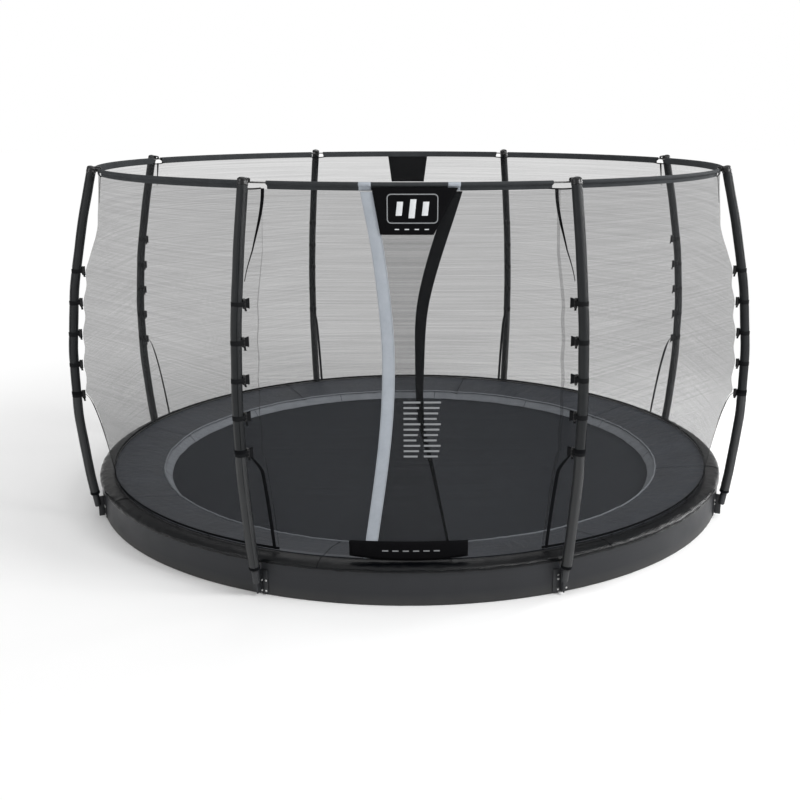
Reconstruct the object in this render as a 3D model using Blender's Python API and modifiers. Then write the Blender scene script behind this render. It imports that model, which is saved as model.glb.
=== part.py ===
"""Round in-ground trampoline with a net enclosure, as separate named parts.

Metres, +Z up. The origin is on the ring's axis at the foot of the retaining wall, and the entrance faces -Y.
An azimuth is counted in degrees from the entrance, positive towards +X. Eight stations, each with a pole, sit
half a sector to either side of the entrance and on round the ring.
"""
import math

import bmesh
import bpy
from mathutils import Matrix, Vector

# Ring
SECTORS = 8
SECTOR = 360 / SECTORS
ARC_STEPS = 6  # facets in one sector of a rail or wall panel
RING_STEPS = 48  # facets round a full ring
FIT = 0.0003  # gap between pieces that touch

# Retaining wall and frame rail
WALL_RADIUS = 2.135
WALL_HEIGHT = 0.200
WALL_SHEET = 0.0015
WALL_FOOT_WIDTH = 0.040
WALL_JOINT_GAP = 0.012
RAIL_INSET = 0.050  # the wall's outer face to the rail's centre line
RAIL_TUBE_RADIUS = 0.021
RAIL_TUBE_WALL = 0.002
RAIL_DROP = 0.020  # the wall's top edge to the rail's centre line
RAIL_JOINT_GAP = 0.004
LEDGE_REACH = 0.010  # how far the ledge runs in past the rail's centre line

# Jumping mat and springs
MAT_TOP = 0.125
MAT_THICKNESS = 0.003
MAT_BAND_WIDTH = 0.030
MAT_BAND_THICKNESS = 0.007
SPRING_SPAN = 0.2337  # the mat's band to the rail's inner side
SPRINGS_PER_SECTOR = 11
SPRING_DIAMETER = 0.024
SPRING_BAR = 0.006  # thickness of a bar with a coil spring's width and about its weight
SPRING_TIE_WIDTH = 0.008  # the hooks' strip at each end of a spring bank
SPRING_BANKS = 4
SPRING_RAIL_DROP = 0.006  # the rail's centre line to the springs' outer ends

# Safety pad
PAD_MAT_LAP = 0.130  # how far the pad covers the mat
PAD_LIP_WIDTH = 0.043
PAD_LIP_HEIGHT = 0.046
PAD_LIP_WALL = 0.012
PAD_THICKNESS = 0.028
PAD_THICKNESS_OVER_RAIL = 0.022
PAD_CROWN = 0.004  # rise of the pad's top over its straight lines, and of its inner edge over the mat
PAD_EDGE_ROUND = 0.012  # width of the bevel at the pad's outer edge
PAD_EDGE_DROPS = (0.007, 0.018)  # how far the bevel falls below the pad's top
PAD_RAIL_LAP = 0.014  # the pad rests on the rail from this far inside it
PAD_SKIRT = 0.007
PAD_SKIRT_GAP = 0.003  # the wall to the skirt's inside
PAD_SKIRT_LAP = 0.003  # how far the skirt hangs below the wall's top edge

# Poles
POLE_STANDOFF = 0.055  # the wall's outer face to the pole's centre line at its foot
POLE_FOOT = 0.160
POLE_TUBE_RADIUS = 0.019
POLE_TUBE_WALL = 0.0015
POLE_FOOT_TILT = math.radians(8.7)  # outwards
POLE_FOOT_STRAIGHT = 0.142
POLE_BEND_RADIUS = 4.085
POLE_BEND = math.radians(22.6)
POLE_BEND_STEPS = 4
POLE_HEAD_STRAIGHT = 0.298
ENTRY_LEAN = math.radians(1.5)  # sideways splay of the two poles beside the entrance
SLEEVE_GAP = 0.0006
SLEEVE_PADDING = 0.009  # the tube's outside to the sleeve's
TUBE_SIDES = 8

# Pole feet
PLATE_WIDTH = 0.096
PLATE_THICKNESS = 0.004
PLATE_BOTTOM = 0.010
PLATE_TOP = 0.145
RIB_THICKNESS = 0.008
RIB_RISE = 0.004  # the plate's lower edge to the rib's
RIB_REACH = 0.004  # how far the rib runs past the pole's centre line
SOCKET_DEPTH = 0.070  # how far the socket reaches below the pole's end
SPIGOT_LENGTH = 0.110
SPIGOT_CLEARANCE = 0.0004
BOLT_RADIUS = 0.008
BOLT_HEAD = 0.006
BOLT_SUNK = 0.001  # how far a head is let into the plate
BOLT_COLUMNS = (-0.034, 0.034)
BOLT_ROWS = (0.026, 0.104)

# Pole caps and top ring
CAP_LIP = 0.001  # how far the cap stands out past the sleeve
CAP_HEIGHT = 0.042
CAP_SHOULDER = 0.026
CAP_DOME = (0.96, 0.45)  # the dome's radius at its foot and its top, as shares of the cap's
CAP_PLUG = 0.030
ROD_RADIUS = 0.005
ROD_CLEARANCE = 0.004
ROD_STEPS = 64
EYE_REACH = 0.011  # the cap's side to the rod
EYE_HEIGHT = 0.022  # the tube's end to the rod
EYE_WALL = 0.005
EYE_LENGTH = 0.026

# Enclosure net
NET_THICKNESS = 0.003
NET_INSET = 0.040  # the rail's centre line to the net's foot
NET_CLEARANCE = 0.003  # the net's foot to the pad
HEM_HEIGHT = 0.045
HEM_RISE = 0.012  # the rod's centre to the hem's top edge
SECTOR_COLUMNS = 5
TIE_COUNT = 5
TIE_FIRST = 0.833
TIE_DROP = 0.562  # the hem's lower edge to the highest tie
TIE_REACH = 0.024  # the sleeve to the net at a tie
TIE_WIDTH = 0.030
TIE_HEIGHT = 0.024
TIE_GAP = 0.002  # a tie's tab to the sleeve
NET_FREE_HANG = 0.310  # the net hangs nearly straight for this far below the hem
NET_HANG_OUT = 0.035  # and stands this much further out than the hem at the end of it
HEM_WINDOW = 0.050  # the hem is cut away this far to each side of a pole, so that its cap can hold the rod
HEM_WINDOW_ENTRY = 0.110  # and this far on the entrance's side of the two front poles
HEM_STRIP = 0.009  # what is left of the hem under a window
HEM_WINDOW_RISE = 0.010  # how far the tool that cuts a window stands above the hem
HEM_WINDOW_DEPTH = 0.060  # and its size across the hem
HEM_ROD_GAP = 0.002  # the hem to the rod
NET_LOW_ROWS = (0, 0.35, 0.75)  # rows below the first tie, as shares of its height

# Entrance flaps
DOOR_INSET = 0.074  # along the ring from a front pole to the fixed net's edge at the entrance
FLAP_INSET = 0.011  # and from there to a flap's hinged edge
FLAP_OFFSET = 0.012  # a flap's sheet to the net's surface
FLAP_CLEARANCE = 0.008  # a flap's top edge to the hem, and its bottom edge to the pad
FLAP_COLUMNS = 6
FLAP_ROW_GAP = 0.05  # least distance from a flap's end to its next row
FLAP_OVERLAP = ((0.0, 6.0), (0.55, 2.6), (1.0, 6.2))  # (share of the height, azimuth past the middle)
DOOR_PANEL_HEIGHT = 0.215
DOOR_PANEL_TOP_WIDTH = 0.380
DOOR_PANEL_BOTTOM_WIDTH = 0.240
DOOR_PANEL_THICKNESS = 0.002
DOOR_PANEL_PROUD = 0.004  # how far the panel hangs in front of the flap

# Values that follow from those above
RAIL_RADIUS = WALL_RADIUS - RAIL_INSET
MAT_BAND_RADIUS = RAIL_RADIUS - RAIL_TUBE_RADIUS - SPRING_SPAN
MAT_RADIUS = MAT_BAND_RADIUS - MAT_BAND_WIDTH - FIT
PAD_INNER_RADIUS = MAT_RADIUS - PAD_MAT_LAP
NET_FOOT_RADIUS = RAIL_RADIUS - NET_INSET
RAIL_Z = WALL_HEIGHT - RAIL_DROP
LEDGE_TOP = RAIL_Z - RAIL_TUBE_RADIUS - FIT
POLE_FOOT_RADIUS = WALL_RADIUS + POLE_STANDOFF
HALF_FACET = math.cos(math.pi / TUBE_SIDES)  # a tube's flats, as a share of its corners' radius
POLE_BORE = POLE_TUBE_RADIUS * HALF_FACET - POLE_TUBE_WALL  # to the bore's flats
SLEEVE_RADIUS = POLE_TUBE_RADIUS + SLEEVE_PADDING
CAP_RADIUS = SLEEVE_RADIUS + CAP_LIP
EYE_OUT = CAP_RADIUS + EYE_REACH  # the cap's axis to the rod
PAD_TOP = RAIL_Z + RAIL_TUBE_RADIUS + FIT + PAD_THICKNESS_OVER_RAIL


def start_scene(name):
    """Empty the scene, then make one collection for the parts and one for the tools that cut or join them."""
    for obj in list(bpy.data.objects):
        bpy.data.objects.remove(obj, do_unlink=True)
    made = []
    for label in (name, "cutters"):
        collection = bpy.data.collections.new(label)
        bpy.context.scene.collection.children.link(collection)
        made.append(collection)
    return made


def finish(name, colour, roughness, metallic=0.0):
    """A plain Principled material."""
    material = bpy.data.materials.new(name)
    material.use_nodes = True
    shader = material.node_tree.nodes["Principled BSDF"]
    shader.inputs["Base Color"].default_value = (*colour, 1)
    shader.inputs["Roughness"].default_value = roughness
    shader.inputs["Metallic"].default_value = metallic
    return material


def add(name, data, material, parent=None, location=(0, 0, 0), rotation=(0, 0, 0)):
    """Put a mesh or curve in the parts collection as one named object."""
    obj = bpy.data.objects.new(name, data)
    PARTS.objects.link(obj)
    obj.parent = parent
    obj.location = location
    obj.rotation_euler = rotation
    if not data.materials:
        data.materials.append(material)
    if isinstance(data, bpy.types.Mesh):
        data.set_sharp_from_angle(angle=math.radians(35))
    return obj


def mesh_from(bm, name):
    """Close a bmesh off into a mesh with its faces pointing out."""
    bmesh.ops.recalc_face_normals(bm, faces=bm.faces)
    mesh = bpy.data.meshes.new(name)
    bm.to_mesh(mesh)
    bm.free()
    mesh.shade_smooth()
    return mesh


def polar(radius, azimuth, height=0.0):
    """World point at a radius and an azimuth in degrees from the entrance."""
    angle = math.radians(azimuth)
    return Vector((radius * math.sin(angle), -radius * math.cos(angle), height))


def station_azimuth(index):
    return (index + 0.5) * SECTOR


def box(bm, low, high):
    """A box from its lowest and highest corners."""
    size = [b - a for a, b in zip(low, high)]
    middle = [(a + b) / 2 for a, b in zip(low, high)]
    matrix = Matrix.Translation(middle) @ Matrix.Diagonal((*size, 1))
    bmesh.ops.create_cube(bm, size=1, matrix=matrix)


def cylinder(bm, radius, depth, matrix, sides=12):
    bmesh.ops.create_cone(
        bm, cap_ends=True, segments=sides, radius1=radius, radius2=radius, depth=depth, matrix=matrix
    )


def turned_mesh(name, profile):
    """A full ring from a closed outline of (radius, height), each point joined to the next."""
    bm = bmesh.new()
    points = [bm.verts.new((radius, 0, height)) for radius, height in profile]
    edges = [bm.edges.new((a, b)) for a, b in zip(points, points[1:] + points[:1])]
    bmesh.ops.spin(
        bm, geom=points + edges, cent=(0, 0, 0), axis=(0, 0, 1), angle=2 * math.pi, steps=RING_STEPS
    )
    bmesh.ops.remove_doubles(bm, verts=bm.verts, dist=0.00005)
    return mesh_from(bm, name)


def arc_mesh(name, profile, degrees, steps):
    """A solid swept round +Z from an outline of (radius, height), centred on local +X."""
    bm = bmesh.new()
    start = Matrix.Rotation(-math.radians(degrees) / 2, 4, "Z")
    face = bm.faces.new([bm.verts.new(start @ Vector((r, 0, z))) for r, z in profile])
    geometry = [face, *face.edges, *face.verts]
    bmesh.ops.spin(
        bm, geom=geometry, cent=(0, 0, 0), axis=(0, 0, 1), angle=math.radians(degrees), steps=steps
    )
    return mesh_from(bm, name)


def tube_curve(name, points, radius, sides, wall=None, cyclic=False):
    """A round tube along points. With a wall it is left open for Solidify, else its ends are capped."""
    curve = bpy.data.curves.new(name, "CURVE")
    curve.dimensions = "3D"
    curve.bevel_depth = radius
    curve.bevel_resolution = sides // 2 - 2
    curve.use_fill_caps = wall is None and not cyclic
    spline = curve.splines.new("POLY")
    spline.points.add(len(points) - 1)
    for point, place in zip(spline.points, points):
        point.co = (*place, 1)
    spline.use_cyclic_u = cyclic
    return curve


def hollow(obj, wall):
    """Give an open tube its wall, inwards from the surface."""
    modifier = obj.modifiers.new("wall", "SOLIDIFY")
    modifier.thickness = wall
    modifier.offset = -1
    modifier.use_even_offset = True


def applied(obj, name):
    """The object's evaluated mesh as a new mesh, with the object then removed."""
    graph = bpy.context.evaluated_depsgraph_get()
    mesh = bpy.data.meshes.new_from_object(obj.evaluated_get(graph))
    mesh.name = name
    bpy.data.objects.remove(obj, do_unlink=True)
    return mesh


def tool(name, bm):
    """A hidden object that cuts or joins another one."""
    obj = bpy.data.objects.new(name, mesh_from(bm, name))
    TOOLS.objects.link(obj)
    obj.hide_render = True
    obj.display_type = "WIRE"
    return obj


def combine(obj, other, operation):
    modifier = obj.modifiers.new(operation.lower(), "BOOLEAN")
    modifier.operation = operation
    modifier.solver = "EXACT"
    modifier.object = other


def joined(name, bodies, cuts=()):
    """One mesh from overlapping bodies, less the cuts. Each is a function that fills a bmesh."""
    first = bmesh.new()
    bodies[0](first)
    base = tool(name + "_base", first)
    for index, fill in enumerate((*bodies[1:], *cuts)):
        bm = bmesh.new()
        fill(bm)
        operation = "UNION" if index < len(bodies) - 1 else "DIFFERENCE"
        combine(base, tool(f"{name}_tool_{index + 1}", bm), operation)
    return applied(base, name)


# ---------------------------------------------------------------- wall, rail and stations


def make_wall(material):
    """Curved panels with a foot flange and an inner ledge that carries the rail."""
    inner = WALL_RADIUS - WALL_SHEET
    ledge = RAIL_RADIUS - LEDGE_REACH
    profile = [
        (WALL_RADIUS, 0),
        (WALL_RADIUS, WALL_HEIGHT),
        (inner, WALL_HEIGHT),
        (inner, LEDGE_TOP),
        (ledge, LEDGE_TOP),
        (ledge, LEDGE_TOP - WALL_SHEET),
        (inner, LEDGE_TOP - WALL_SHEET),
        (inner, WALL_SHEET),
        (WALL_RADIUS - WALL_FOOT_WIDTH, WALL_SHEET),
        (WALL_RADIUS - WALL_FOOT_WIDTH, 0),
    ]
    degrees = SECTOR - math.degrees(WALL_JOINT_GAP / WALL_RADIUS)
    mesh = arc_mesh("wall_panel", profile, degrees, ARC_STEPS)
    for index in range(SECTORS):
        turn = math.radians(index * SECTOR - 90)
        add(f"wall_panel_{index + 1}", mesh, material, rotation=(0, 0, turn))


def make_rail(material):
    """Tubular rails, one a sector, that meet at the stations."""
    half = math.radians(SECTOR) / 2 - RAIL_JOINT_GAP / 2 / RAIL_RADIUS
    angles = [half * (2 * i / ARC_STEPS - 1) for i in range(ARC_STEPS + 1)]
    points = [(RAIL_RADIUS * math.cos(a), RAIL_RADIUS * math.sin(a), 0) for a in angles]
    curve = tube_curve("frame_rail", points, RAIL_TUBE_RADIUS, TUBE_SIDES, wall=RAIL_TUBE_WALL)
    for index in range(SECTORS):
        turn = math.radians(index * SECTOR - 90)
        rail = add(
            f"frame_rail_{index + 1}", curve, material, location=(0, 0, RAIL_Z), rotation=(0, 0, turn)
        )
        hollow(rail, RAIL_TUBE_WALL)


def lean_of(index):
    """Sideways lean of a station's pole, away from the entrance."""
    return {0: -ENTRY_LEAN, SECTORS - 1: ENTRY_LEAN}.get(index, 0.0)


def make_stations():
    """An empty at each pole's foot: local +X points out, local +Z up the pole's plane."""
    stations = []
    for index in range(SECTORS):
        station = bpy.data.objects.new(f"station_{index + 1}", None)
        PARTS.objects.link(station)
        station.location = polar(POLE_FOOT_RADIUS, station_azimuth(index), POLE_FOOT)
        turn = math.radians(station_azimuth(index) - 90)
        station.rotation_euler = (lean_of(index), 0, turn)
        stations.append(station)
    return stations


def pole_path():
    """Centre line in the station's frame, straight then bent then straight, and the head's tilt."""
    points = [Vector((0, 0, 0))]
    tilt = POLE_FOOT_TILT
    step = Vector((math.sin(tilt), 0, math.cos(tilt)))
    points.append(points[-1] + step * POLE_FOOT_STRAIGHT)
    centre = points[-1] - POLE_BEND_RADIUS * Vector((math.cos(tilt), 0, -math.sin(tilt)))
    for i in range(POLE_BEND_STEPS):
        tilt = POLE_FOOT_TILT - POLE_BEND * (i + 1) / POLE_BEND_STEPS
        points.append(centre + POLE_BEND_RADIUS * Vector((math.cos(tilt), 0, -math.sin(tilt))))
    step = Vector((math.sin(tilt), 0, math.cos(tilt)))
    points.append(points[-1] + step * POLE_HEAD_STRAIGHT)
    return points, tilt


PATH, HEAD_TILT = pole_path()


def pole_offset(height):
    """How far out of its foot the pole's centre line is, at a height above its foot."""
    for low, high in zip(PATH, PATH[1:]):
        if height <= high.z:
            share = (height - low.z) / (high.z - low.z)
            return low.x + share * (high.x - low.x)
    return PATH[-1].x


def head_point(out, along):
    """Station-frame point beside the pole's head: out from its axis, and along it from the tube's end."""
    axis = Vector((math.sin(HEAD_TILT), 0, math.cos(HEAD_TILT)))
    side = Vector((math.cos(HEAD_TILT), 0, -math.sin(HEAD_TILT)))
    return PATH[-1] + side * out + axis * along


EYE = head_point(-EYE_OUT, EYE_HEIGHT)
ROD_RING_RADIUS = POLE_FOOT_RADIUS + EYE.x
ROD_RING_Z = POLE_FOOT + EYE.z


def make_poles(stations, tube_finish, sleeve_finish):
    """Bent tubes, each in its padded sleeve."""
    tube = tube_curve("pole", PATH, POLE_TUBE_RADIUS, TUBE_SIDES, wall=POLE_TUBE_WALL)
    sleeve = tube_curve("pole_sleeve", PATH, SLEEVE_RADIUS, TUBE_SIDES, wall=True)
    for index, station in enumerate(stations):
        hollow(add(f"pole_{index + 1}", tube, tube_finish, station), POLE_TUBE_WALL)
        cover = add(f"pole_sleeve_{index + 1}", sleeve, sleeve_finish, station)
        hollow(cover, (SLEEVE_RADIUS - POLE_TUBE_RADIUS) * HALF_FACET - SLEEVE_GAP)


def make_brackets(stations, material):
    """Pole feet: a plate with bolt heads, a rib, and a socket with a spigot that enters the pole's bore."""
    face = -POLE_STANDOFF + FIT
    tilt = Matrix.Rotation(POLE_FOOT_TILT, 4, "Y")
    spigot_radius = POLE_BORE - SPIGOT_CLEARANCE
    sideways = Matrix.Rotation(math.pi / 2, 4, "Y")

    def plate(bm):
        low = (face, -PLATE_WIDTH / 2, PLATE_BOTTOM - POLE_FOOT)
        box(bm, low, (face + PLATE_THICKNESS, PLATE_WIDTH / 2, PLATE_TOP - POLE_FOOT))

    def rib(bm):
        low = (face + PLATE_THICKNESS / 2, -RIB_THICKNESS / 2, PLATE_BOTTOM - POLE_FOOT + RIB_RISE)
        box(bm, low, (RIB_REACH, RIB_THICKNESS / 2, -SOCKET_DEPTH / 2))

    def socket(bm):
        place = tilt @ Matrix.Translation((0, 0, -SOCKET_DEPTH / 2 - FIT))
        cylinder(bm, POLE_TUBE_RADIUS, SOCKET_DEPTH, place)

    def spigot(bm):
        place = tilt @ Matrix.Translation((0, 0, (SPIGOT_LENGTH - SOCKET_DEPTH) / 2))
        cylinder(bm, spigot_radius, SPIGOT_LENGTH, place)

    def bolts(bm):
        for side in BOLT_COLUMNS:
            for height in BOLT_ROWS:
                reach = face + PLATE_THICKNESS + BOLT_HEAD / 2 - BOLT_SUNK
                place = Matrix.Translation((reach, side, height - POLE_FOOT)) @ sideways
                cylinder(bm, BOLT_RADIUS, BOLT_HEAD, place, sides=6)

    mesh = joined("pole_bracket", (plate, rib, socket, spigot, bolts))
    for index, station in enumerate(stations):
        add(f"pole_bracket_{index + 1}", mesh, material, station)


def make_caps(stations, material):
    """Caps that plug the poles and hold the top ring in an eye on their inner side."""
    plug_radius = POLE_BORE - SPIGOT_CLEARANCE
    eye = ROD_RADIUS + ROD_CLEARANCE + EYE_WALL
    across = Matrix.Rotation(math.pi / 2, 4, "X")

    def crown(bm):
        cylinder(bm, CAP_RADIUS, CAP_SHOULDER, Matrix.Translation((0, 0, FIT + CAP_SHOULDER / 2)))

    def dome(bm):
        depth = CAP_HEIGHT - CAP_SHOULDER
        bmesh.ops.create_cone(
            bm,
            cap_ends=True,
            segments=12,
            radius1=CAP_RADIUS * CAP_DOME[0],
            radius2=CAP_RADIUS * CAP_DOME[1],
            depth=depth,
            matrix=Matrix.Translation((0, 0, CAP_SHOULDER + depth / 2 - FIT)),
        )

    def plug(bm):
        cylinder(bm, plug_radius, CAP_PLUG * 2, Matrix.Identity(4), sides=TUBE_SIDES)

    def block(bm):
        low = (-EYE_OUT - eye, -EYE_LENGTH / 2, EYE_HEIGHT - eye + 2 * FIT)
        box(bm, low, (-CAP_RADIUS / 3, EYE_LENGTH / 2, EYE_HEIGHT + eye))

    def bore(bm):
        place = Matrix.Translation((-EYE_OUT, 0, EYE_HEIGHT)) @ across
        cylinder(bm, ROD_RADIUS + ROD_CLEARANCE, EYE_LENGTH * 2, place, sides=10)

    mesh = joined("pole_cap", (crown, dome, plug, block), (bore,))
    for index, station in enumerate(stations):
        add(f"pole_cap_{index + 1}", mesh, material, station, PATH[-1], (0, HEAD_TILT, 0))


def make_top_ring(material):
    """The hem's rod, a closed ring through every cap's eye."""
    points = []
    for i in range(ROD_STEPS):
        points.append(polar(ROD_RING_RADIUS, 360 * i / ROD_STEPS + SECTOR / 2))
    curve = tube_curve("top_ring", points, ROD_RADIUS, 6, cyclic=True)
    add("top_ring", curve, material, location=(0, 0, ROD_RING_Z))


# ---------------------------------------------------------------- mat, springs and pad


def make_mat(mat_finish, band_finish):
    """The jumping mat and the webbing band round its edge."""
    bm = bmesh.new()
    cylinder(bm, MAT_RADIUS, MAT_THICKNESS, Matrix.Identity(4), sides=RING_STEPS)
    middle = MAT_TOP - MAT_THICKNESS / 2
    add("jumping_mat", mesh_from(bm, "jumping_mat"), mat_finish, location=(0, 0, middle))
    inner = (MAT_RADIUS + FIT, -MAT_BAND_THICKNESS / 2)
    outer = (MAT_BAND_RADIUS, MAT_BAND_THICKNESS / 2)
    profile = [(outer[0], outer[1]), (outer[0], inner[1]), inner, (inner[0], outer[1])]
    band = turned_mesh("mat_edge_band", profile)
    add("mat_edge_band", band, band_finish, location=(0, 0, middle))


def spring_ends():
    """(radius, height) of a bank's inner and outer edges."""
    inner = MAT_BAND_RADIUS / math.cos(math.pi / (SPRINGS_PER_SECTOR * SECTORS)) + FIT * 2
    facet = math.cos(math.radians(SECTOR / ARC_STEPS / 2))
    outer = (RAIL_RADIUS - RAIL_TUBE_RADIUS) * facet - FIT * 2
    return (inner, MAT_TOP - MAT_THICKNESS / 2), (outer, RAIL_Z - SPRING_RAIL_DROP)


def make_springs(material):
    """Banks of springs: each spring a bar, held to the next by the strips of its hooks."""
    (low_r, low_z), (high_r, high_z) = spring_ends()
    count = SPRINGS_PER_SECTOR * SECTORS // SPRING_BANKS
    pitch = 2 * math.pi / (SPRINGS_PER_SECTOR * SECTORS)
    half = SPRING_DIAMETER / 2 / ((low_r + high_r) / 2)
    radii = (low_r, low_r + SPRING_TIE_WIDTH, high_r - SPRING_TIE_WIDTH, high_r)
    bm = bmesh.new()
    columns = []
    for i in range(count):
        middle = (i - (count - 1) / 2) * pitch
        for angle in (middle - half, middle + half):
            column = []
            for radius in radii:
                height = low_z + (high_z - low_z) * (radius - low_r) / (high_r - low_r)
                place = (radius * math.cos(angle), radius * math.sin(angle), height - SPRING_BAR / 2)
                column.append(bm.verts.new(place))
            columns.append(column)
    for i, (left, right) in enumerate(zip(columns, columns[1:])):
        for row in range(3):
            if row != 1 or i % 2 == 0:
                bm.faces.new((left[row], left[row + 1], right[row + 1], right[row]))
    top = bmesh.ops.extrude_face_region(bm, geom=bm.faces[:])
    moved = [item for item in top["geom"] if isinstance(item, bmesh.types.BMVert)]
    bmesh.ops.translate(bm, verts=moved, vec=(0, 0, SPRING_BAR))
    mesh = mesh_from(bm, "spring_bank")
    for index in range(SPRING_BANKS):
        turn = math.radians((index + 0.5) * 360 / SPRING_BANKS - 90)
        add(f"spring_bank_{index + 1}", mesh, material, rotation=(0, 0, turn))


def pad_top(radius):
    """Height of the pad's top face at a radius inside the rail."""
    lip = PAD_INNER_RADIUS + PAD_LIP_WIDTH
    low = MAT_TOP + PAD_LIP_HEIGHT + PAD_CROWN
    share = (radius - lip) / (NET_FOOT_RADIUS - lip)
    return low + (PAD_TOP + PAD_CROWN - low) * min(max(share, 0.0), 1.0)


def make_pad(material):
    """Padded ring from the mat's edge out over the springs and the rail, with a skirt outside the wall."""
    rail_top = RAIL_Z + RAIL_TUBE_RADIUS + FIT
    rail_inner = RAIL_RADIUS - RAIL_TUBE_RADIUS - PAD_RAIL_LAP
    lip = PAD_INNER_RADIUS + PAD_LIP_WIDTH
    skirt_in = WALL_RADIUS + PAD_SKIRT_GAP
    skirt_out = skirt_in + PAD_SKIRT
    skirt_foot = WALL_HEIGHT - PAD_SKIRT_LAP
    profile = [
        (PAD_INNER_RADIUS, MAT_TOP + PAD_CROWN),
        (lip, pad_top(lip)),
        ((lip + NET_FOOT_RADIUS) / 2, pad_top((lip + NET_FOOT_RADIUS) / 2) + PAD_CROWN),
        (NET_FOOT_RADIUS, pad_top(NET_FOOT_RADIUS)),
        (RAIL_RADIUS + PAD_EDGE_ROUND, PAD_TOP),
        (skirt_out - PAD_EDGE_ROUND, PAD_TOP - PAD_EDGE_DROPS[0]),
        (skirt_out, PAD_TOP - PAD_EDGE_DROPS[1]),
        (skirt_out, skirt_foot),
        (skirt_in, skirt_foot),
        (skirt_in, rail_top),
        (rail_inner, rail_top),
        (lip + PAD_LIP_WALL, pad_top(lip) - PAD_THICKNESS),
        (PAD_INNER_RADIUS + PAD_LIP_WALL, MAT_TOP + 2 * FIT),
    ]
    add("safety_pad", turned_mesh("safety_pad", profile[::-1]), material)


# ---------------------------------------------------------------- net and flaps


def hem_levels():
    top = ROD_RING_Z + HEM_RISE
    return top - HEM_HEIGHT, top


def net_foot():
    return pad_top(NET_FOOT_RADIUS) + NET_CLEARANCE


def hem_radius():
    """Radius of the net's middle surface at the hem, just inside the rod."""
    return (ROD_RING_RADIUS - ROD_RADIUS) * math.cos(math.pi / ROD_STEPS) - NET_THICKNESS / 2 - HEM_ROD_GAP


def net_radius_at_pole(height):
    """The net swings out to the pole between the first tie and the last, and back in to the hem and the pad."""
    first, last = tie_heights()[0], tie_heights()[-1]
    if first <= height <= last:
        return net_radius_at_tie(height)
    if height > last:
        return hanging_radius(height, last)
    share = ((first - height) / (first - net_foot())) ** 0.6
    edge = net_radius_at_tie(first)
    return edge + (NET_FOOT_RADIUS - edge) * share


def hanging_radius(height, last):
    """Above the last tie the net comes in to nearly the hem's radius, then hangs from it."""
    hem, edge = hem_levels()[0], net_radius_at_tie(last)
    hang, hung = hem - NET_FREE_HANG, hem_radius() + NET_HANG_OUT
    if height < hang:
        return edge + (hung - edge) * (height - last) / (hang - last)
    return hung + (hem_radius() - hung) * min((height - hang) / (hem - hang), 1.0)


def net_radius_between(height):
    """Halfway between two poles the net stands nearly upright, from the pad's radius to the hem's."""
    low, high = net_foot(), hem_levels()[1]
    return NET_FOOT_RADIUS + (hem_radius() - NET_FOOT_RADIUS) * (height - low) / (high - low)


def pole_azimuth(index, height):
    """A station's azimuth at a height, which its lean carries along the ring."""
    shift = -math.tan(lean_of(index % SECTORS)) * (height - POLE_FOOT)
    return station_azimuth(index) + math.degrees(shift / POLE_FOOT_RADIUS)


def net_point(azimuth, height, offset=0.0):
    """Point of the enclosure's surface. Azimuths run from -SECTOR / 2, the last pole, all the way round."""
    index = math.floor(azimuth / SECTOR - 0.5)
    start, end = station_azimuth(index), station_azimuth(index + 1)
    share = (azimuth - start) / (end - start)
    low, high = pole_azimuth(index, height), pole_azimuth(index + 1, height)
    pull = (2 * abs(share - 0.5)) ** 2
    middle = net_radius_between(height)
    radius = middle + (net_radius_at_pole(height) - middle) * pull
    return polar(radius + offset, low + share * (high - low), height)


def tie_heights():
    step = (hem_levels()[0] - TIE_DROP - TIE_FIRST) / (TIE_COUNT - 1)
    return [TIE_FIRST + step * k for k in range(TIE_COUNT)]


def net_radius_at_tie(height):
    return POLE_FOOT_RADIUS + pole_offset(height - POLE_FOOT) - SLEEVE_RADIUS - TIE_REACH


def net_heights():
    """Levels of the net's rows: its foot, two below the ties, the ties, the free hang and the hem's edges."""
    foot = net_foot()
    hem_low, hem_high = hem_levels()
    below = [foot + (TIE_FIRST - foot) * share for share in NET_LOW_ROWS]
    return [*below, *tie_heights(), hem_low - NET_FREE_HANG, hem_low, hem_high]


def sheet_mesh(name, rows, keep, thickness):
    """A grid of points as a mesh sheet with a thickness. keep says whether a cell (row, column) is there."""
    bm = bmesh.new()
    grid = [[bm.verts.new(point) for point in row] for row in rows]
    for r in range(len(grid) - 1):
        for c in range(len(grid[0]) - 1):
            if keep(r, c):
                bm.faces.new((grid[r][c], grid[r][c + 1], grid[r + 1][c + 1], grid[r + 1][c]))
    bmesh.ops.remove_doubles(bm, verts=bm.verts, dist=0.00005)
    loose = [vertex for vertex in bm.verts if not vertex.link_faces]
    bmesh.ops.delete(bm, geom=loose, context="VERTS")
    bmesh.ops.recalc_face_normals(bm, faces=bm.faces)
    obj = bpy.data.objects.new(name + "_sheet", mesh_from(bm, name + "_sheet"))
    TOOLS.objects.link(obj)
    modifier = obj.modifiers.new("thickness", "SOLIDIFY")
    modifier.thickness = thickness
    modifier.offset = 0
    return applied(obj, name)


def door_edge(inset):
    """Azimuth of an upright edge beside the entrance, this far along the ring from a front pole."""
    return SECTOR / 2 - math.degrees(inset / ROD_RING_RADIUS)


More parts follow.
